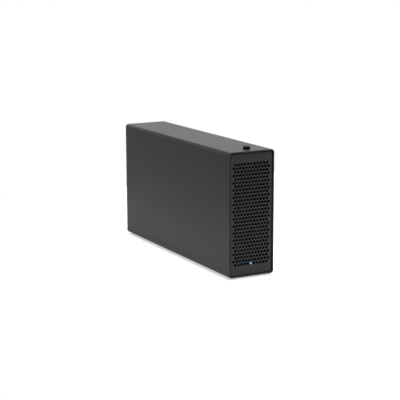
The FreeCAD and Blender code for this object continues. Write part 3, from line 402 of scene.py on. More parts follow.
# %% Quads of a grid
def grid_faces(rows, columns, close_rows=False, close_columns=False):
    """Quads between neighbours of a grid, counted row by row, with the last row or column joined
    to the first."""
    i = np.arange(rows if close_rows else rows - 1)[:, None]
    j = np.arange(columns if close_columns else columns - 1)[None, :]
    here, there = i * columns, (i + 1) % rows * columns
    onward = (j + 1) % columns
    corners = np.broadcast_arrays(here + j, here + onward, there + onward, there + j)
    return np.stack(corners, -1).reshape(-1, 4)


def tube(points, close_rows=False):
    """A grid whose rows are closed loops, with its quads; the last row may join the first."""
    return points, grid_faces(*points.shape[:2], close_rows, True)


def repeated(quads, count, size):
    """The same quads for each of count shapes, moved on by the size of one shape each time."""
    return (quads[None] + np.arange(count)[:, None, None] * size).reshape(-1, 4)


def revolve(profile, centre, axis, columns=48, ripple=None):
    """A profile of (radius, height) turned about an upright or lengthways axis; ripple adds to the
    radius by angle."""
    profile = np.array(profile)
    turn = np.linspace(0, 2 * np.pi, columns, endpoint=False)
    radius = profile[:, :1] + (0 if ripple is None else ripple(turn[None, :], profile))
    height = np.repeat(profile[:, 1:], columns, 1)
    across, along = radius * np.cos(turn), radius * np.sin(turn)
    order = {"z": (across, along, height), "y": (across, height, along)}[axis]
    return tube(np.stack(order, -1) + np.array(centre))


print("quads on a 3 by 4 grid:", len(grid_faces(3, 4)))

# %% [markdown]
# ## From grids to a piece
# Patches that meet share their edge points, so merging the doubles closes the piece. The faces are
# then turned outwards, and edges sharper than the crease stay sharp.

# %% One piece
SAME_POINT = 1e-6


def piece(name, patches, material, body, nodes=(), crease=32):
    """One mesh from patches, each its points in millimetres and its quads; sharp where faces turn
    by more than crease."""
    counts = np.cumsum([0] + [len(points.reshape(-1, 3)) for points, _ in patches])
    points = np.concatenate([points.reshape(-1, 3) for points, _ in patches]) * MM
    quads = np.concatenate([quads + first for (_, quads), first in zip(patches, counts)])
    mesh = bpy.data.meshes.new(name)
    mesh.from_pydata(points, [], quads)
    work = bmesh.new()
    work.from_mesh(mesh)
    bmesh.ops.remove_doubles(work, verts=work.verts, dist=SAME_POINT)
    bmesh.ops.recalc_face_normals(work, faces=work.faces)
    work.to_mesh(mesh)
    work.free()
    mesh.shade_smooth()
    mesh.set_sharp_from_angle(angle=math.radians(crease))
    mesh.materials.append(material)
    made = bpy.data.objects.new(name, mesh)
    bpy.context.scene.collection.objects.link(made)
    weigh = made.modifiers.new("even_faces", "WEIGHTED_NORMAL")
    weigh.keep_sharp = True
    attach(made, body)
    if nodes:
        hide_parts(*nodes)
    print(name, "has", len(mesh.polygons), "faces")


print("points closer than", SAME_POINT / MM, "mm are merged")

# %% [markdown]
# ## The sleeve
# One sheet of steel is folded four times into a long box, welded along its length and coated. Its
# outline is a rectangle with rounded corners. The cut edges at the front and the back are a hair
# rounded by deburring and by the coat, and that thin line catches the light, so the profile of the
# wall is carried round the outline.

# %% Outline and sleeve
SLEEVE_X, SLEEVE_LOW, SLEEVE_HIGH, SLEEVE_BEND = 30.0, 2.0, 149.5, 4.0
SLEEVE_WALL, SLEEVE_EASE, FRONT_Y = 1.5, 0.25, -140.0


def outline(half_x, low, high, radius, side_count, upright_count, arc_count):
    """Round a rectangle with round corners: core points on the rectangle of the corners' centres,
    and the outward direction at each, which turns by 90 degrees at a corner. A point of the outline
    is core + outward * radius."""
    x, z = half_x - radius, np.array([low + radius, high - radius])
    level, rise = np.linspace(-x, x, side_count), np.linspace(z[0], z[1], upright_count)
    arc = np.linspace(0, np.pi / 2, arc_count + 2)[1:-1]
    one, up_one = np.ones_like(level), np.ones_like(rise)
    starts = ((level, z[0] * one, -np.pi / 2), (x * up_one, rise, 0.0),
              (-level, z[1] * one, np.pi / 2), (-x * up_one, rise[::-1], np.pi))
    cores, turns = [], []
    for across, height, turn in starts:
        side = np.stack([across, height], -1)
        cores += [side, np.repeat(side[-1:], arc_count, 0)]
        turns += [np.full(len(side), turn), turn + arc]
    core, turn = np.concatenate(cores), np.concatenate(turns)
    return core, np.stack([np.cos(turn), np.sin(turn)], -1)


def carried(core, outward, radius, profile):
    """A profile of (distance out of the outline, Y) carried round it: core + outward times
    (radius + distance)."""
    profile = np.array(profile)
    flat = core[None] + outward[None] * (radius + profile[:, None, :1])
    depth = np.repeat(profile[:, 1:], len(core), 1)
    return np.stack([flat[..., 0], depth, flat[..., 1]], -1)


soft = SLEEVE_EASE * (1 - math.sqrt(0.5))
half_profile = [(-SLEEVE_WALL, FRONT_Y + SLEEVE_EASE), (-SLEEVE_WALL + soft, FRONT_Y + soft),
                (-SLEEVE_WALL + SLEEVE_EASE, FRONT_Y), (-SLEEVE_EASE, FRONT_Y),
                (-soft, FRONT_Y + soft), (0, FRONT_Y + SLEEVE_EASE)]
profile = half_profile + [(out, -y) for out, y in reversed(half_profile)]
core, outward = outline(SLEEVE_X, SLEEVE_LOW, SLEEVE_HIGH, SLEEVE_BEND, 2, 2, 11)
points = carried(core, outward, SLEEVE_BEND, profile)
piece("folded_sleeve", [tube(points, True)], POWDER_AND_SHADE, "case", ["outer_sleeve"])

# %% [markdown]
# ## The holes in the front
# A press punches the staggered holes out of a flat blank. Each hole is one square cell of the
# sheet: a ring on the cell's edge, a ring on the hole's soft front edge, and a ring at its back.
# The cells' corners and sides share points with their neighbours, also where a row is shifted by
# half a pitch. Narrow strips fill the ends of the shorter rows.

# %% Holes
FACE_Y, SHEET = -139.0, 1.2
PITCH, ROWS, SHORT_ROW, LONG_ROW = 4.2, 29, 11, 12
HOLE_R, HOLE_EASE, RING = 1.75, 0.12, 16
rows_z = LOWEST_Z + np.arange(ROWS) * PITCH


def row_centres(count, heights):
    """Centres of count holes, one pitch apart about the middle, at each of the heights."""
    across = (np.arange(count) - (count - 1) / 2) * PITCH
    return np.stack(np.meshgrid(across, heights), -1).reshape(-1, 2)


centres = np.concatenate([row_centres(SHORT_ROW, rows_z[::2]), row_centres(LONG_ROW, rows_z[1::2])])
step = np.array([0, .5, 1, 1, 1, 1, 1, .5, 0, -.5, -1, -1, -1, -1, -1, -.5]) * PITCH / 2
square = np.stack([np.roll(step, -RING // 4), step], -1)
turn = np.arange(RING) * 2 * np.pi / RING
circle = np.stack([np.cos(turn), np.sin(turn)], -1)
rings = np.stack([square, circle * HOLE_R, circle * HOLE_R, circle * (HOLE_R + HOLE_EASE), square])
depths = np.array([FACE_Y + SHEET, FACE_Y + SHEET, FACE_Y + HOLE_EASE, FACE_Y, FACE_Y])
flat = centres[:, None, None, :] + rings[None]
depth = np.broadcast_to(depths[None, :, None], flat.shape[:3])
cells = np.stack([flat[..., 0], depth, flat[..., 1]], -1)
one_cell = grid_faces(len(rings), RING, False, True)
cells = cells, repeated(one_cell, len(centres), rings.shape[0] * RING)

ends = np.stack(np.meshgrid((-1, 1), rows_z[::2], (FACE_Y, FACE_Y + SHEET)), -1).reshape(-1, 3)
half_widths = np.array([SHORT_ROW, (SHORT_ROW + LONG_ROW) / 2, LONG_ROW]) * PITCH / 2
u, v = np.meshgrid(half_widths, np.linspace(-PITCH / 2, PITCH / 2, 5))
strips = np.stack([ends[:, 0, None, None] * u,
                   np.broadcast_to(ends[:, 2, None, None], (len(ends), *u.shape)),
                   ends[:, 1, None, None] + v], -1)
strips = strips, repeated(grid_faces(*u.shape), len(ends), u.size)
print("holes:", len(centres))

# %% [markdown]
# ## The front's border and rim
# Round the field the blank stays whole, and its rim is folded back with a small bend. The border is
# a profile carried round the panel's outline, from the field's edge over the bend to the rim's end
# and back inside. The outline has as many points as the field's edge, so both join.

# %% Front panel
PANEL_X, PANEL_LOW, PANEL_HIGH, PANEL_CORNER = 28.35, 3.65, 147.85, 2.35
PANEL_BEND, RIM_END_Y, LIP_EASE = 1.6, -132.0, 0.2
INNER_BEND, INNER_MID = 0.4, 0.12
BACK_Y = FACE_Y + SHEET
core, outward = outline(PANEL_X, PANEL_LOW, PANEL_HIGH, PANEL_CORNER, 49, 117, 5)
field_x = LONG_ROW / 2 * PITCH
field_z = np.array([rows_z[0] - PITCH / 2, LOWEST_Z + (ROWS - 0.5) * PITCH])
middle = field_z.mean()
shrink = np.array([field_x / (PANEL_X - PANEL_CORNER),
                   (field_z[1] - middle) / (PANEL_HIGH - PANEL_CORNER - middle)])
inner = (core - [0, middle]) * shrink + [0, middle]
front_edge, back_edge = [np.insert(inner, 1, y, 1)[None] for y in (FACE_Y, BACK_Y)]
arc = np.linspace(0, np.pi / 2, 6)
fold = np.stack([-PANEL_BEND * (1 - np.cos(arc)), FACE_Y + PANEL_BEND * (1 - np.sin(arc))], -1)
bend = [(-SHEET - INNER_BEND, BACK_Y), (-SHEET - INNER_MID, BACK_Y + INNER_MID),
        (-SHEET, BACK_Y + INNER_BEND)]
lip = [(-SHEET, RIM_END_Y - LIP_EASE), (-SHEET + LIP_EASE, RIM_END_Y),
       (-LIP_EASE, RIM_END_Y), (0, RIM_END_Y - LIP_EASE)]
border = carried(core, outward, PANEL_CORNER, bend + lip + fold.tolist())
border = tube(np.concatenate([back_edge, border, front_edge]))
piece("perforated_front", [cells, strips, border], POWDER_AND_SHADE, "case", ["front_panel"])

# %% [markdown]
# ## The thumbscrew
# It is turned from bar, knurled with straight teeth, rounded at its upper rim, chamfered at the
# lower one and blackened. Radius is a function of height and angle: the teeth are a triangle wave
# round the head, and the thread is a wave that climbs as it turns.

# %% Thumbscrew
THUMB_Y, HEAD_R, TEETH, TOOTH = -127.5, 4.2, 36, 0.22
THREAD_R, THREAD_TIP, THREAD_TOP, LEAD, RIDGE = 1.95, 139.0, 0.5, 0.7, 0.13
SEAT = (0, THUMB_Y, SLEEVE_HIGH)
TIP = THREAD_TIP - SLEEVE_HIGH


def teeth(turn, profile):
    """A triangle wave of 36 teeth, 0.22 mm deep, on the rows that lie at the head's full radius."""
    wave = np.abs((turn * TEETH / (2 * np.pi)) % 1 * 2 - 1) * -TOOTH
    return wave * (profile[:, :1] >= HEAD_R - 0.01)


def climbing(turn, profile):
    """A cosine of 0.13 mm that climbs by the lead in one turn, on the shank's rows but not on its
    last 0.7 mm."""
    threaded = (profile[:, :1] > 0) * (profile[:, 1:] > TIP + LEAD)
    return RIDGE * np.cos(2 * np.pi * profile[:, 1:] / LEAD + turn) * threaded


dish = [(0.0, 3.65), (2.4, 3.65), (2.55, 3.8), (3.3, 3.8), (3.75, 3.65), (4.08, 3.3), (HEAD_R, 2.9),
        (HEAD_R, 0.7), (3.95, 0.4), (3.8, 0.4), (3.8, 0.0), (0.0, 0.0)]
head = revolve(dish, SEAT, "z", 4 * TEETH, teeth)
fall = np.linspace(THREAD_TOP, TIP, 111)
shank = np.stack([np.full_like(fall, THREAD_R - RIDGE), fall], -1)
thread = revolve([(0.0, THREAD_TOP), *shank.tolist(), (0.0, TIP)], SEAT, "z", 36, climbing)
piece("knurled_thumbscrew", [head, thread], BLACK_OXIDE, "thumbscrew",
      ["thumbscrew"])

# %% [markdown]
# ## Light pipe and feet
# The power light is a clear rod with a domed end that nearly fills one hole, and a collar at its
# back. The feet are moulded rubber discs with a rounded rim and a shallow dish underneath. Both are
# profiles turned about an axis.

# %% Light pipe and feet
DOME, COLLAR_R, COLLAR_FRONT, COLLAR_BACK, ROD_BACK = 0.25, 2.4, -119.4, -118.2, -117.8
arc = np.linspace(0, np.pi / 2, 6)
dome = np.stack([LIGHT_R * np.sin(arc), ROD_FRONT - DOME * np.cos(arc)], -1)
rod = [*dome.tolist(), (LIGHT_R, COLLAR_FRONT), (COLLAR_R, COLLAR_FRONT), (COLLAR_R, COLLAR_BACK),
       (LIGHT_R, COLLAR_BACK), (LIGHT_R, ROD_BACK), (0.0, ROD_BACK)]
piece("light_rod", [revolve(rod, (0, 0, LOWEST_Z), "y", 32)], ACRYLIC, "chassis",
      ["light_pipe"])

FOOT_X, FOOT_Y, FOOT_R, FOOT_ROUND = 17.0, 116.0, 5.0, 0.6
arc = np.linspace(0, np.pi / 2, 5)
rim = np.stack([FOOT_R - FOOT_ROUND + FOOT_ROUND * np.sin(arc),
                FOOT_ROUND - FOOT_ROUND * np.cos(arc)], -1)
foot = [(0.0, 0.3), (3.2, 0.3), (3.6, 0.0), *rim.tolist(), (FOOT_R, SLEEVE_LOW), (0.0, SLEEVE_LOW)]
for end, y in (("front", -FOOT_Y), ("back", FOOT_Y)):
    for side, x in (("left", -FOOT_X), ("right", FOOT_X)):
        disc = revolve(foot, (x, y, 0), "z")
        piece(f"rubber_foot_{end}_{side}", [disc], RUBBER, "case", [f"foot_{end}_{side}"])

# %% [markdown]
# ## Screws
# Pan-head screws are cold-formed from wire: a low dome, a cross punched into it, and a rolled
# thread. The head is a height above the seat that depends on the distance from the middle and on
# the angle. The cross is cut where a point lies near one of two crossed lines, so no second solid
# is needed.

# %% One screw
SCREW_TURN, HEAD_RINGS, SCREW_R, SCREW_DOME = 48, 17, 2.75, 1.8
ARM_HALF, ARM_REACH, SCREW_RIDGE, SCREW_LEAD, SCREW_TIP = 0.45, 1.5, 0.1, 0.6, 0.6


def cross_screw(seat, facing, length, shank, dome=SCREW_DOME):
    """The head's height is dome * (1 - 0.4 (r / radius)^2), less a cut where the nearer arm's line
    is under 0.45 mm away and the arm is under 1.5 mm long. Then the grid goes down the rim and
    along the thread."""
    turn = np.linspace(0, 2 * np.pi, SCREW_TURN, endpoint=False)
    one = np.ones(SCREW_TURN)
    r = np.linspace(0, SCREW_R, HEAD_RINGS)[:, None]
    a, b = np.abs(r * np.cos(turn)), np.abs(r * np.sin(turn))
    arm = (np.clip((ARM_HALF - np.minimum(a, b)) / 0.15, 0, 1)
           * np.clip((ARM_REACH - np.maximum(a, b)) / 0.2, 0, 1))
    top = dome * (1 - 0.4 * (r / SCREW_R) ** 2) - 0.65 * dome * arm
    stem = np.linspace(0, length - SCREW_TIP, 1 + 8 * int(length))[:, None]
    wave = np.cos(2 * np.pi * stem / SCREW_LEAD + turn)
    ridge = np.clip(stem, 0, 0.3) / 0.3 * SCREW_RIDGE * wave
    radii = np.concatenate([r * one, SCREW_R * one[None], shank - SCREW_RIDGE + ridge,
                            [0.6 * shank * one, 0 * one]])
    heights = np.concatenate([top, 0 * one[None], -stem * one, [-length * one] * 2])
    facing, side = np.array(facing, float), np.array([1.0, 0, 0])
    across = np.cross(facing, side)
    spoke = np.cos(turn)[:, None] * side + np.sin(turn)[:, None] * across
    return tube(np.array(seat) + radii[..., None] * spoke + heights[..., None] * facing)


print("points on a 5 mm screw:", cross_screw((0, 0, 0), (0, 0, 1), 5.0, 1.45)[0].size // 3)

# %% [markdown]
# ## Where the screws sit
# One table says for each group of screws which way it faces, how long and thick its thread is, and
# where its heads rest. The two screws under the front have flatter heads.

# %% Screws
BOARD_TOP = 12.3
UP, DOWN, AHEAD, BEHIND = (0, 0, 1), (0, 0, -1), (0, -1, 0), (0, 1, 0)
board_seats = [(x, y, BOARD_TOP) for x in (-21.0, 21.0) for y in (-21.5, 102.5)]
rear_seats = [(x, 126.0, 7.7) for x in (-22.0, 22.0)]
fan_seats = [(x, -118.2, z) for x in (-20.0, 20.0) for z in (55.75, 95.75)]
bracket_seats = [(x, -111.6, 5.9) for x in (-15.0, 15.0)]
panel_seats = [(x, -134.9, SLEEVE_LOW) for x in (-15.0, 15.0)]
# node: finish, slot, direction, thread length and radius, seats
SCREWS = {
    "board_screws": (ZINC, "zinc_steel", UP, 5.0, 1.45, board_seats),
    "rear_screws": (BLACK_OXIDE, "black_screw", BEHIND, 5.0, 1.45, rear_seats),
    "slot_screw": (ZINC, "zinc_steel", UP, 3.06, 1.35, [(-13.2, 131.2, 126.16)]),
    "fan_screws": (BLACK_OXIDE, "black_screw", AHEAD, 8.0, 1.9, fan_seats),
    "bracket_screws": (BLACK_AND_SHADE, "black_steel", UP, 2.4, 1.45, bracket_seats),
}
for node, (material, slot, facing, length, shank, seats) in SCREWS.items():
    group = [cross_screw(seat, facing, length, shank) for seat in seats]
    piece(f"cross_{node}", group, material, "chassis", [node])
sunk = [cross_screw(seat, DOWN, 4.0, 1.45, 0.35) for seat in panel_seats]
piece("cross_panel_screws", sunk, BLACK_OXIDE, "case", ["panel_screws"])

# %% [markdown]
# ## The fan's impeller
# A small axial fan is moulded in two pieces. The impeller has a hub and seven blades, which are
# steeper at the hub than at the tip. A blade is a closed thin section carried outwards on cylinders
# round the axis, so its tip keeps an even gap to the bore.

# %% Fan impeller
FAN_FRONT, FAN_BACK, BORE_R, HUB_R = -117.0, -102.0, 23.5, 10.0
BLADES, BLADE_Y, ROOT_R, SPAN = 7, -111.0, 9.6, 13.0
ROOT_PITCH, TWIST, ROOT_HALF, FLARE = 50, 22, 6.2, 0.6
LEAN, CAMBER, ROOT_THICK, THINNING = 0.25, 1.4, 0.75, 0.25


def blades():
    """Chord c runs from -1 to 1 and back. Angle = c * half chord * cos(pitch) / radius, and depth =
    c * half chord * sin(pitch) + camber * (1 - c^2) + thickness on the near or the far face. The
    first and last row have no thickness."""
    loop = np.linspace(0, 2 * np.pi, 28, endpoint=False)[None, :]
    span = np.array([0, 0, .12, .25, .4, .55, .7, .85, 1, 1])[:, None]
    solid = np.array([0, 1, 1, 1, 1, 1, 1, 1, 1, 0])[:, None]
    chord, radius = np.cos(loop), ROOT_R + SPAN * span
    pitch, half = np.radians(ROOT_PITCH - TWIST * span), ROOT_HALF + FLARE * span
    turn = chord * half * np.cos(pitch) / radius + LEAN * span
    thick = solid * np.sin(loop) * (ROOT_THICK - THINNING * span)
    depth = BLADE_Y + chord * half * np.sin(pitch) + CAMBER * (1 - chord ** 2) + thick
    angle = turn[None] + np.arange(BLADES)[:, None, None] * 2 * np.pi / BLADES
    across, height = radius * np.cos(angle), MIDDLE_Z + radius * np.sin(angle)
    points = np.stack([across, np.broadcast_to(depth, angle.shape), height], -1)
    return [tube(blade) for blade in points]


hub = [(0, -115.8), (6.4, -115.8), (6.9, -116.2), (9.2, -116.2), (9.8, -115.9), (HUB_R, -115.2),
       (HUB_R, -105.2), (9.6, -104.8), (1.0, -104.8), (1.0, FAN_BACK), (0, FAN_BACK)]
piece("fan_impeller", [revolve(hub, (0, 0, MIDDLE_Z), "y", 64)] + blades(), PBT, "fan_rotor",
      ["fan_rotor"], 40)

# %% [markdown]
# ## The fan's frame
# The frame has two square flanges with a round duct between them, and four arms at the back that
# carry the motor. Circle and square have the same number of points, so one grid leads from the bore
# over the flange to the waist and back.

# %% Fan frame
FAN_HALF, FAN_CORNER, FLANGE, EASE, WAIST_R = 25.0, 3.0, 3.5, 0.3, 24.7
SHAFT_R, ARM_Y, ARM_WIDE, ARM_SQUARE = 1.05, -103.0, 1.5, 0.4


def ringed(core, outward, radius, centre, rows):
    """Rows round one axis: each is ("round", r, y), a circle at the angles of the outline,
    ("edge", d, y), the outline moved out by d, or ("waist", r, y), the outline cut back to a
    circle."""
    rim = core + outward * radius - centre
    reach = np.hypot(*rim.T)[:, None]
    away = rim / reach
    flat = {"round": lambda r: away * r, "edge": lambda d: rim + outward * d,
            "waist": lambda r: away * np.minimum(reach, r)}
    return np.stack([np.insert(flat[kind](size) + centre, 1, y, 1) for kind, size, y in rows])


core, outward = outline(FAN_HALF, MIDDLE_Z - FAN_HALF, MIDDLE_Z + FAN_HALF, FAN_CORNER, 15, 15, 5)
rows = [("round", 24.2, FAN_FRONT), ("round", 23.7, FAN_FRONT + 0.4),
        ("round", BORE_R, FAN_FRONT + 1.3), ("round", BORE_R, FAN_BACK - 0.8),
        ("round", 23.9, FAN_BACK), ("edge", -EASE, FAN_BACK), ("edge", 0, FAN_BACK - EASE),
        ("edge", 0, FAN_BACK - FLANGE + EASE), ("edge", -EASE, FAN_BACK - FLANGE),
        ("waist", WAIST_R, FAN_BACK - FLANGE), ("waist", WAIST_R, FAN_FRONT + FLANGE),
        ("edge", -EASE, FAN_FRONT + FLANGE), ("edge", 0, FAN_FRONT + FLANGE - EASE),
        ("edge", 0, FAN_FRONT + EASE), ("edge", -EASE, FAN_FRONT)]
duct = ringed(core, outward, FAN_CORNER, np.array([0, MIDDLE_Z]), rows)
plate = [(SHAFT_R, -104.0), (9.7, -104.0), (HUB_R, -103.7), (HUB_R, -102.4), (9.6, FAN_BACK),
         (SHAFT_R, FAN_BACK), (SHAFT_R, -104.0)]
loop = np.linspace(0, 2 * np.pi, 16, endpoint=False)
circle = np.stack([np.cos(loop), np.sin(loop)], -1)
section = np.sign(circle) * np.abs(circle) ** ARM_SQUARE * [ARM_WIDE, 1.0]
section = section[None] * np.array([0, 1, 1, 0])[:, None, None]
reach = np.array([9.0, 9.0, 23.8, 23.8])[:, None, None]
arms = []
for angle in np.radians([45, 135, 225, 315]):
    out = np.array([math.cos(angle), 0, math.sin(angle)])
    aside = np.array([-math.sin(angle), 0, math.cos(angle)])
    bar = reach * out + section[..., :1] * aside + section[..., 1:] * np.array([0, 1, 0])
    arms.append(tube(bar + np.array([0, ARM_Y, MIDDLE_Z])))
motor_plate = revolve(plate, (0, 0, MIDDLE_Z), "y", 64)
piece("fan_shroud", [tube(duct, True), motor_plate] + arms, PBT, "chassis",
      ["fan_frame"])

# %% [markdown]
# ## Data sockets
# The two data sockets are drawn oval shells with a thin tongue inside, which carries a row of gilt
# contacts on each face. Shell and tongue are profiles carried round an outline, from the middle of
# the back, over the rim, down to the floor of the opening. The contacts are plain bars.

# %% Data sockets
SOCKET_END, PORT_HIGH, PORT_HALF, PORT_BACK, PORT_FLOOR = 126.5, 15.56, 4.47, 117.5, 119.75
TONGUE_X, TONGUE_HALF, TONGUE_BACK, TONGUE_END = 3.35, 0.35, 119.7, 126.2
CONTACTS, CONTACT_PITCH, CONTACT_SIZE = 12, 0.5, (0.26, 5.4, 0.06)
port_mid, oval = (BOARD_TOP + PORT_HIGH) / 2, (PORT_HIGH - BOARD_TOP) / 2


def slabs(low, high):
    """Small bars from arrays of their low and high corners: each corner of a cube takes low or high
    on each axis."""
    low, high = np.atleast_2d(low), np.atleast_2d(high)
    pick = np.array([(i & 1, i >> 1 & 1, i >> 2) for i in range(8)], bool)
    points = np.where(pick[None], high[:, None], low[:, None])
    quads = np.array([(0, 2, 3, 1), (4, 5, 7, 6), (0, 1, 5, 4), (2, 6, 7, 3), (0, 4, 6, 2),
                      (1, 3, 7, 5)])
    return points, repeated(quads, len(points), len(pick))


shell = [(-oval, PORT_BACK), (0, PORT_BACK), (0, SOCKET_END - 0.15), (-0.07, SOCKET_END),
         (-0.23, SOCKET_END), (-0.3, SOCKET_END - 0.15), (-0.3, PORT_FLOOR), (-oval, PORT_FLOOR)]
shell = carried(*outline(PORT_HALF, BOARD_TOP, PORT_HIGH, oval, 2, 2, 11), oval, shell)
tongue = [(-TONGUE_HALF, TONGUE_BACK), (0, TONGUE_BACK), (0, TONGUE_END - 0.15),
          (-0.1, TONGUE_END), (-TONGUE_HALF, TONGUE_END)]
core, outward = outline(TONGUE_X, port_mid - TONGUE_HALF, port_mid + TONGUE_HALF, TONGUE_HALF,
                        2, 2, 5)
tongue = carried(core, outward, TONGUE_HALF, tongue)
across = (np.arange(CONTACTS) - (CONTACTS - 1) / 2) * CONTACT_PITCH
spots = np.array([(x - 0.13, 120.4, z - 0.03)
                  for z in (port_mid - 0.36, port_mid + 0.36) for x in across])
for side, x in (("left", 0.1), ("right", 10.7)):
    move = np.array([x, 0, 0])
    piece(f"data_shell_{side}", [tube(shell + move)], NICKEL, "chassis",
          [f"data_port_{side}"])
    piece(f"data_tongue_{side}", [tube(tongue + move)], PBT, "chassis")
    low = spots + move
    piece(f"data_contacts_{side}", [slabs(low, low + CONTACT_SIZE)], GILT, "chassis")

# %% [markdown]
# ## Power socket
# The power socket is a moulded block with a round bore and a pin. Rings that are round in the bore
# and square outside make the block from one grid.

# %% Power socket
INLET_X, INLET_Z, INLET_HALF, INLET_TOP, INLET_CORNER = 21.3, 18.8, 4.5, 23.3, 0.5
INLET_FLOOR, INLET_BACK, INLET_BORE, PIN_R, PIN_END = 117.0, 112.5, 3.2, 1.0, 124.5
core, outward = outline(INLET_HALF, BOARD_TOP, INLET_TOP, INLET_CORNER, 9, 11, 3)
rows = [("round", 0, INLET_FLOOR), ("round", INLET_BORE, INLET_FLOOR),
        ("round", INLET_BORE, 125.9), ("round", 3.5, 126.35), ("round", 3.7, SOCKET_END),
        ("edge", -0.25, SOCKET_END), ("edge", 0, SOCKET_END - 0.25), ("edge", 0, INLET_BACK + 0.2),
        ("edge", -0.2, INLET_BACK), ("round", 0, INLET_BACK)]
block = ringed(core, outward, INLET_CORNER, np.array([0, INLET_Z]), rows)
piece("barrel_socket", [tube(block + np.array([INLET_X, 0, 0]))], PBT, "chassis",
      ["power_inlet"])
pin = [(0, PIN_END), (0.55, PIN_END), (0.88, 124.3), (PIN_R, 123.9), (PIN_R, INLET_FLOOR),
       (0, INLET_FLOOR)]
piece("barrel_pin", [revolve(pin, (INLET_X, 0, INLET_Z), "y", 32)], NICKEL, "chassis")

# %% [markdown]
# ## The card connector
# A long moulded bar with two grooves, a key between them, and a sprung gilt contact every
# millimetre on both walls. The bar's cross-section is one closed row of points. Along its length
# that row repeats, with the groove either open or filled up to the top, so the end walls and the
# key come from the same grid.

# %% Card connector
CARD_X, SLOT_TOP, GROOVE_FLOOR, CARD_FRONT, CARD_END = -19.0, 23.5, 15.5, -12.2, 76.8
KEY_FRONT, KEY_END, END_WALL, CAP_Z = 62.9, 64.7, 1.8, 18.0
section = np.array([(-3.75, BOARD_TOP), (3.75, BOARD_TOP), (3.75, 22.9), (3.15, SLOT_TOP),
                    (1.5, SLOT_TOP), (0.9, 22.7), (0.9, GROOVE_FLOOR), (-0.9, GROOVE_FLOOR),
                    (-0.9, 22.7), (-1.5, SLOT_TOP), (-3.15, SLOT_TOP), (-3.75, 22.9)])
in_groove = np.isin(np.arange(len(section)), (5, 6, 7, 8))
# place along the bar, and whether the groove is open there
stations = np.array([(CARD_FRONT, 0), (CARD_FRONT + END_WALL, 0), (CARD_FRONT + END_WALL, 1),
                     (KEY_FRONT, 1), (KEY_FRONT, 0), (KEY_END, 0), (KEY_END, 1),
                     (CARD_END - END_WALL, 1), (CARD_END - END_WALL, 0), (CARD_END, 0)])
height = np.where(in_groove[None] & (stations[:, 1:] == 0), SLOT_TOP, section[None, :, 1])
bar = np.stack([np.broadcast_to(section[:, 0] + CARD_X, height.shape),
                np.broadcast_to(stations[:, :1], height.shape), height], -1)
front_cap, end_cap = [np.broadcast_to(np.array([CARD_X, y, CAP_Z]), (1, len(section), 3))
                      for y in (CARD_FRONT, CARD_END)]
bar = np.concatenate([front_cap, bar, end_cap])
piece("card_connector", [tube(bar)], PBT, "chassis", ["card_slot"])
along = np.concatenate([np.arange(-9.5, 62.6, 1.0), np.arange(65.2, 74.9, 1.0)])
walls = np.array([(CARD_X + side - 0.2, y - 0.28, 16.2) for side in (-0.75, 0.75) for y in along])
piece("card_contacts", [slabs(walls, walls + [0.4, 0.56, 6.0])], GILT, "chassis")

# %% [markdown]
# ## Cans and chokes
# Electrolytic cans have a crimped neck above a base and a bevelled top. The base, black on the real
# part, is drawn in the can's aluminium finish. Chokes are pressed powder blocks with softened
# corners. They stand in one row beside the card connector.

# %% Cans and chokes
POWER_X, POWER_PITCH, CHOKE_HALF, CHOKE_CORNER, CHOKE_TOP = 17.0, 10.0, 3.5, 0.9, 4.0
can = [(0, 0), (3.15, 0), (3.15, 1.0), (2.92, 1.2), (2.92, 1.5), (3.15, 1.7), (3.15, 7.0),
       (3.0, 7.35), (2.7, 7.5), (2.55, 7.4), (0, 7.4)]
cans = [revolve(can, (POWER_X, 19.5 - POWER_PITCH * i, BOARD_TOP), "z", 40) for i in range(4)]
piece("electrolytic_cans", cans, CAN, "chassis", ["capacitors"])

core, outward = outline(CHOKE_HALF, -CHOKE_HALF, CHOKE_HALF, CHOKE_CORNER, 4, 4, 4)
side = [(-0.1, 0), (0, 0.1), (0, 3.5), (-0.15, 3.85), (-0.5, CHOKE_TOP)]
rise = carried(core, outward, CHOKE_CORNER, side)[..., [0, 2, 1]]
base, lid = [np.broadcast_to(np.array([0, 0, z]), rise[:1].shape) for z in (0.0, CHOKE_TOP)]
rise = np.concatenate([base, rise, lid])
places = [np.array([POWER_X, 50.5 - POWER_PITCH * i, BOARD_TOP]) for i in range(3)]
piece("pressed_chokes", [tube(rise + place) for place in places], ANODISED, "chassis",
      ["chokes"])

# %% [markdown]
# ## Small soldered parts
# Around the larger parts lie small ones, a dark ceramic body with two tinned ends each, in rows
# that a seeded draw thins out. All of them are bars, so two arrays of corners are enough. The fan's
# header has four square pins.

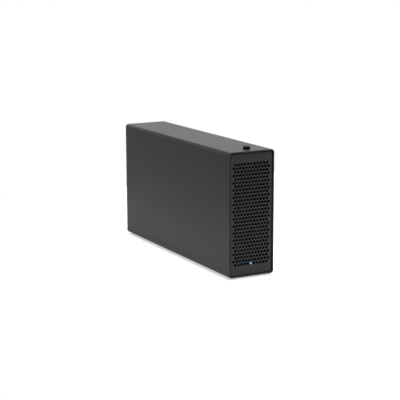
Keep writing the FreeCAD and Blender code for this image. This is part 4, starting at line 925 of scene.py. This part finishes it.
# %% Small soldered parts
SHARE, BODY, END_SHARE, PIN_HALF, PIN_HIGH = 0.4, 0.96, 0.25, 0.32, 5.2
draw = np.random.default_rng(7)
spots = np.array([(x, y) for x in np.arange(-11.0, 11.1, 4.4) for y in np.arange(-10.0, 63.0, 3.6)])
spots = spots[draw.random(len(spots)) < SHARE]
half = np.where(draw.random(len(spots))[:, None] < 0.5, [1.0, 0.6], [0.5, 0.8])
height = half.min(1) * 1.1
base = np.full(len(spots), BOARD_TOP)
low = np.stack([*(spots - half * BODY).T, base], -1)
high = np.stack([*(spots + half * BODY).T, base + height * BODY], -1)
piece("ceramic_bodies", [slabs(low, high)], CERAMIC, "chassis")
lengthways = half == half.max(1, keepdims=True)
size = np.where(lengthways, END_SHARE * half, half)
ends = []
for sign in (-1, 1):
    place = spots + np.where(lengthways, (1 - END_SHARE) * half, 0) * sign
    ends.append(slabs(np.stack([*(place - size).T, base], -1),
                      np.stack([*(place + size).T, base + height], -1)))
piece("tinned_ends", ends, NICKEL, "chassis")
pins = np.stack([4.0 + (np.arange(4) - 1.5) * 2.0, np.full(4, -19.5), np.full(4, 13.0)], -1)
low, high = pins - [PIN_HALF, PIN_HALF, 0], pins + [PIN_HALF, PIN_HALF, PIN_HIGH]
piece("header_pins", [slabs(low, high)], NICKEL, "chassis")

# %% [markdown]
# ## Finishes on the CAD solids
# The other solids are right as they are, so each only gets its finish.

# %% Finishes on the CAD solids
WEARS = {
    ZINC: ["clamp_nut", "tray", "slot_cover"],
    BLACK_AND_SHADE: ["fan_bracket", "latch_plate"],
    BLACK_COAT: ["rear_panel"],
    PBT: ["controller_chip"],
    LAMINATE: ["main_board", "led_board"],
    BRASS: ["board_standoffs"],
    ANODISED: ["heat_sink"],
    NYLON: ["fan_header"],
    ACRYLIC: ["power_led"],
}
for material, nodes in WEARS.items():
    for node in nodes:
        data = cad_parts[node].data
        data.materials.clear()
        data.materials.append(material)
print("solids with a finish:", sum(len(nodes) for nodes in WEARS.values()))
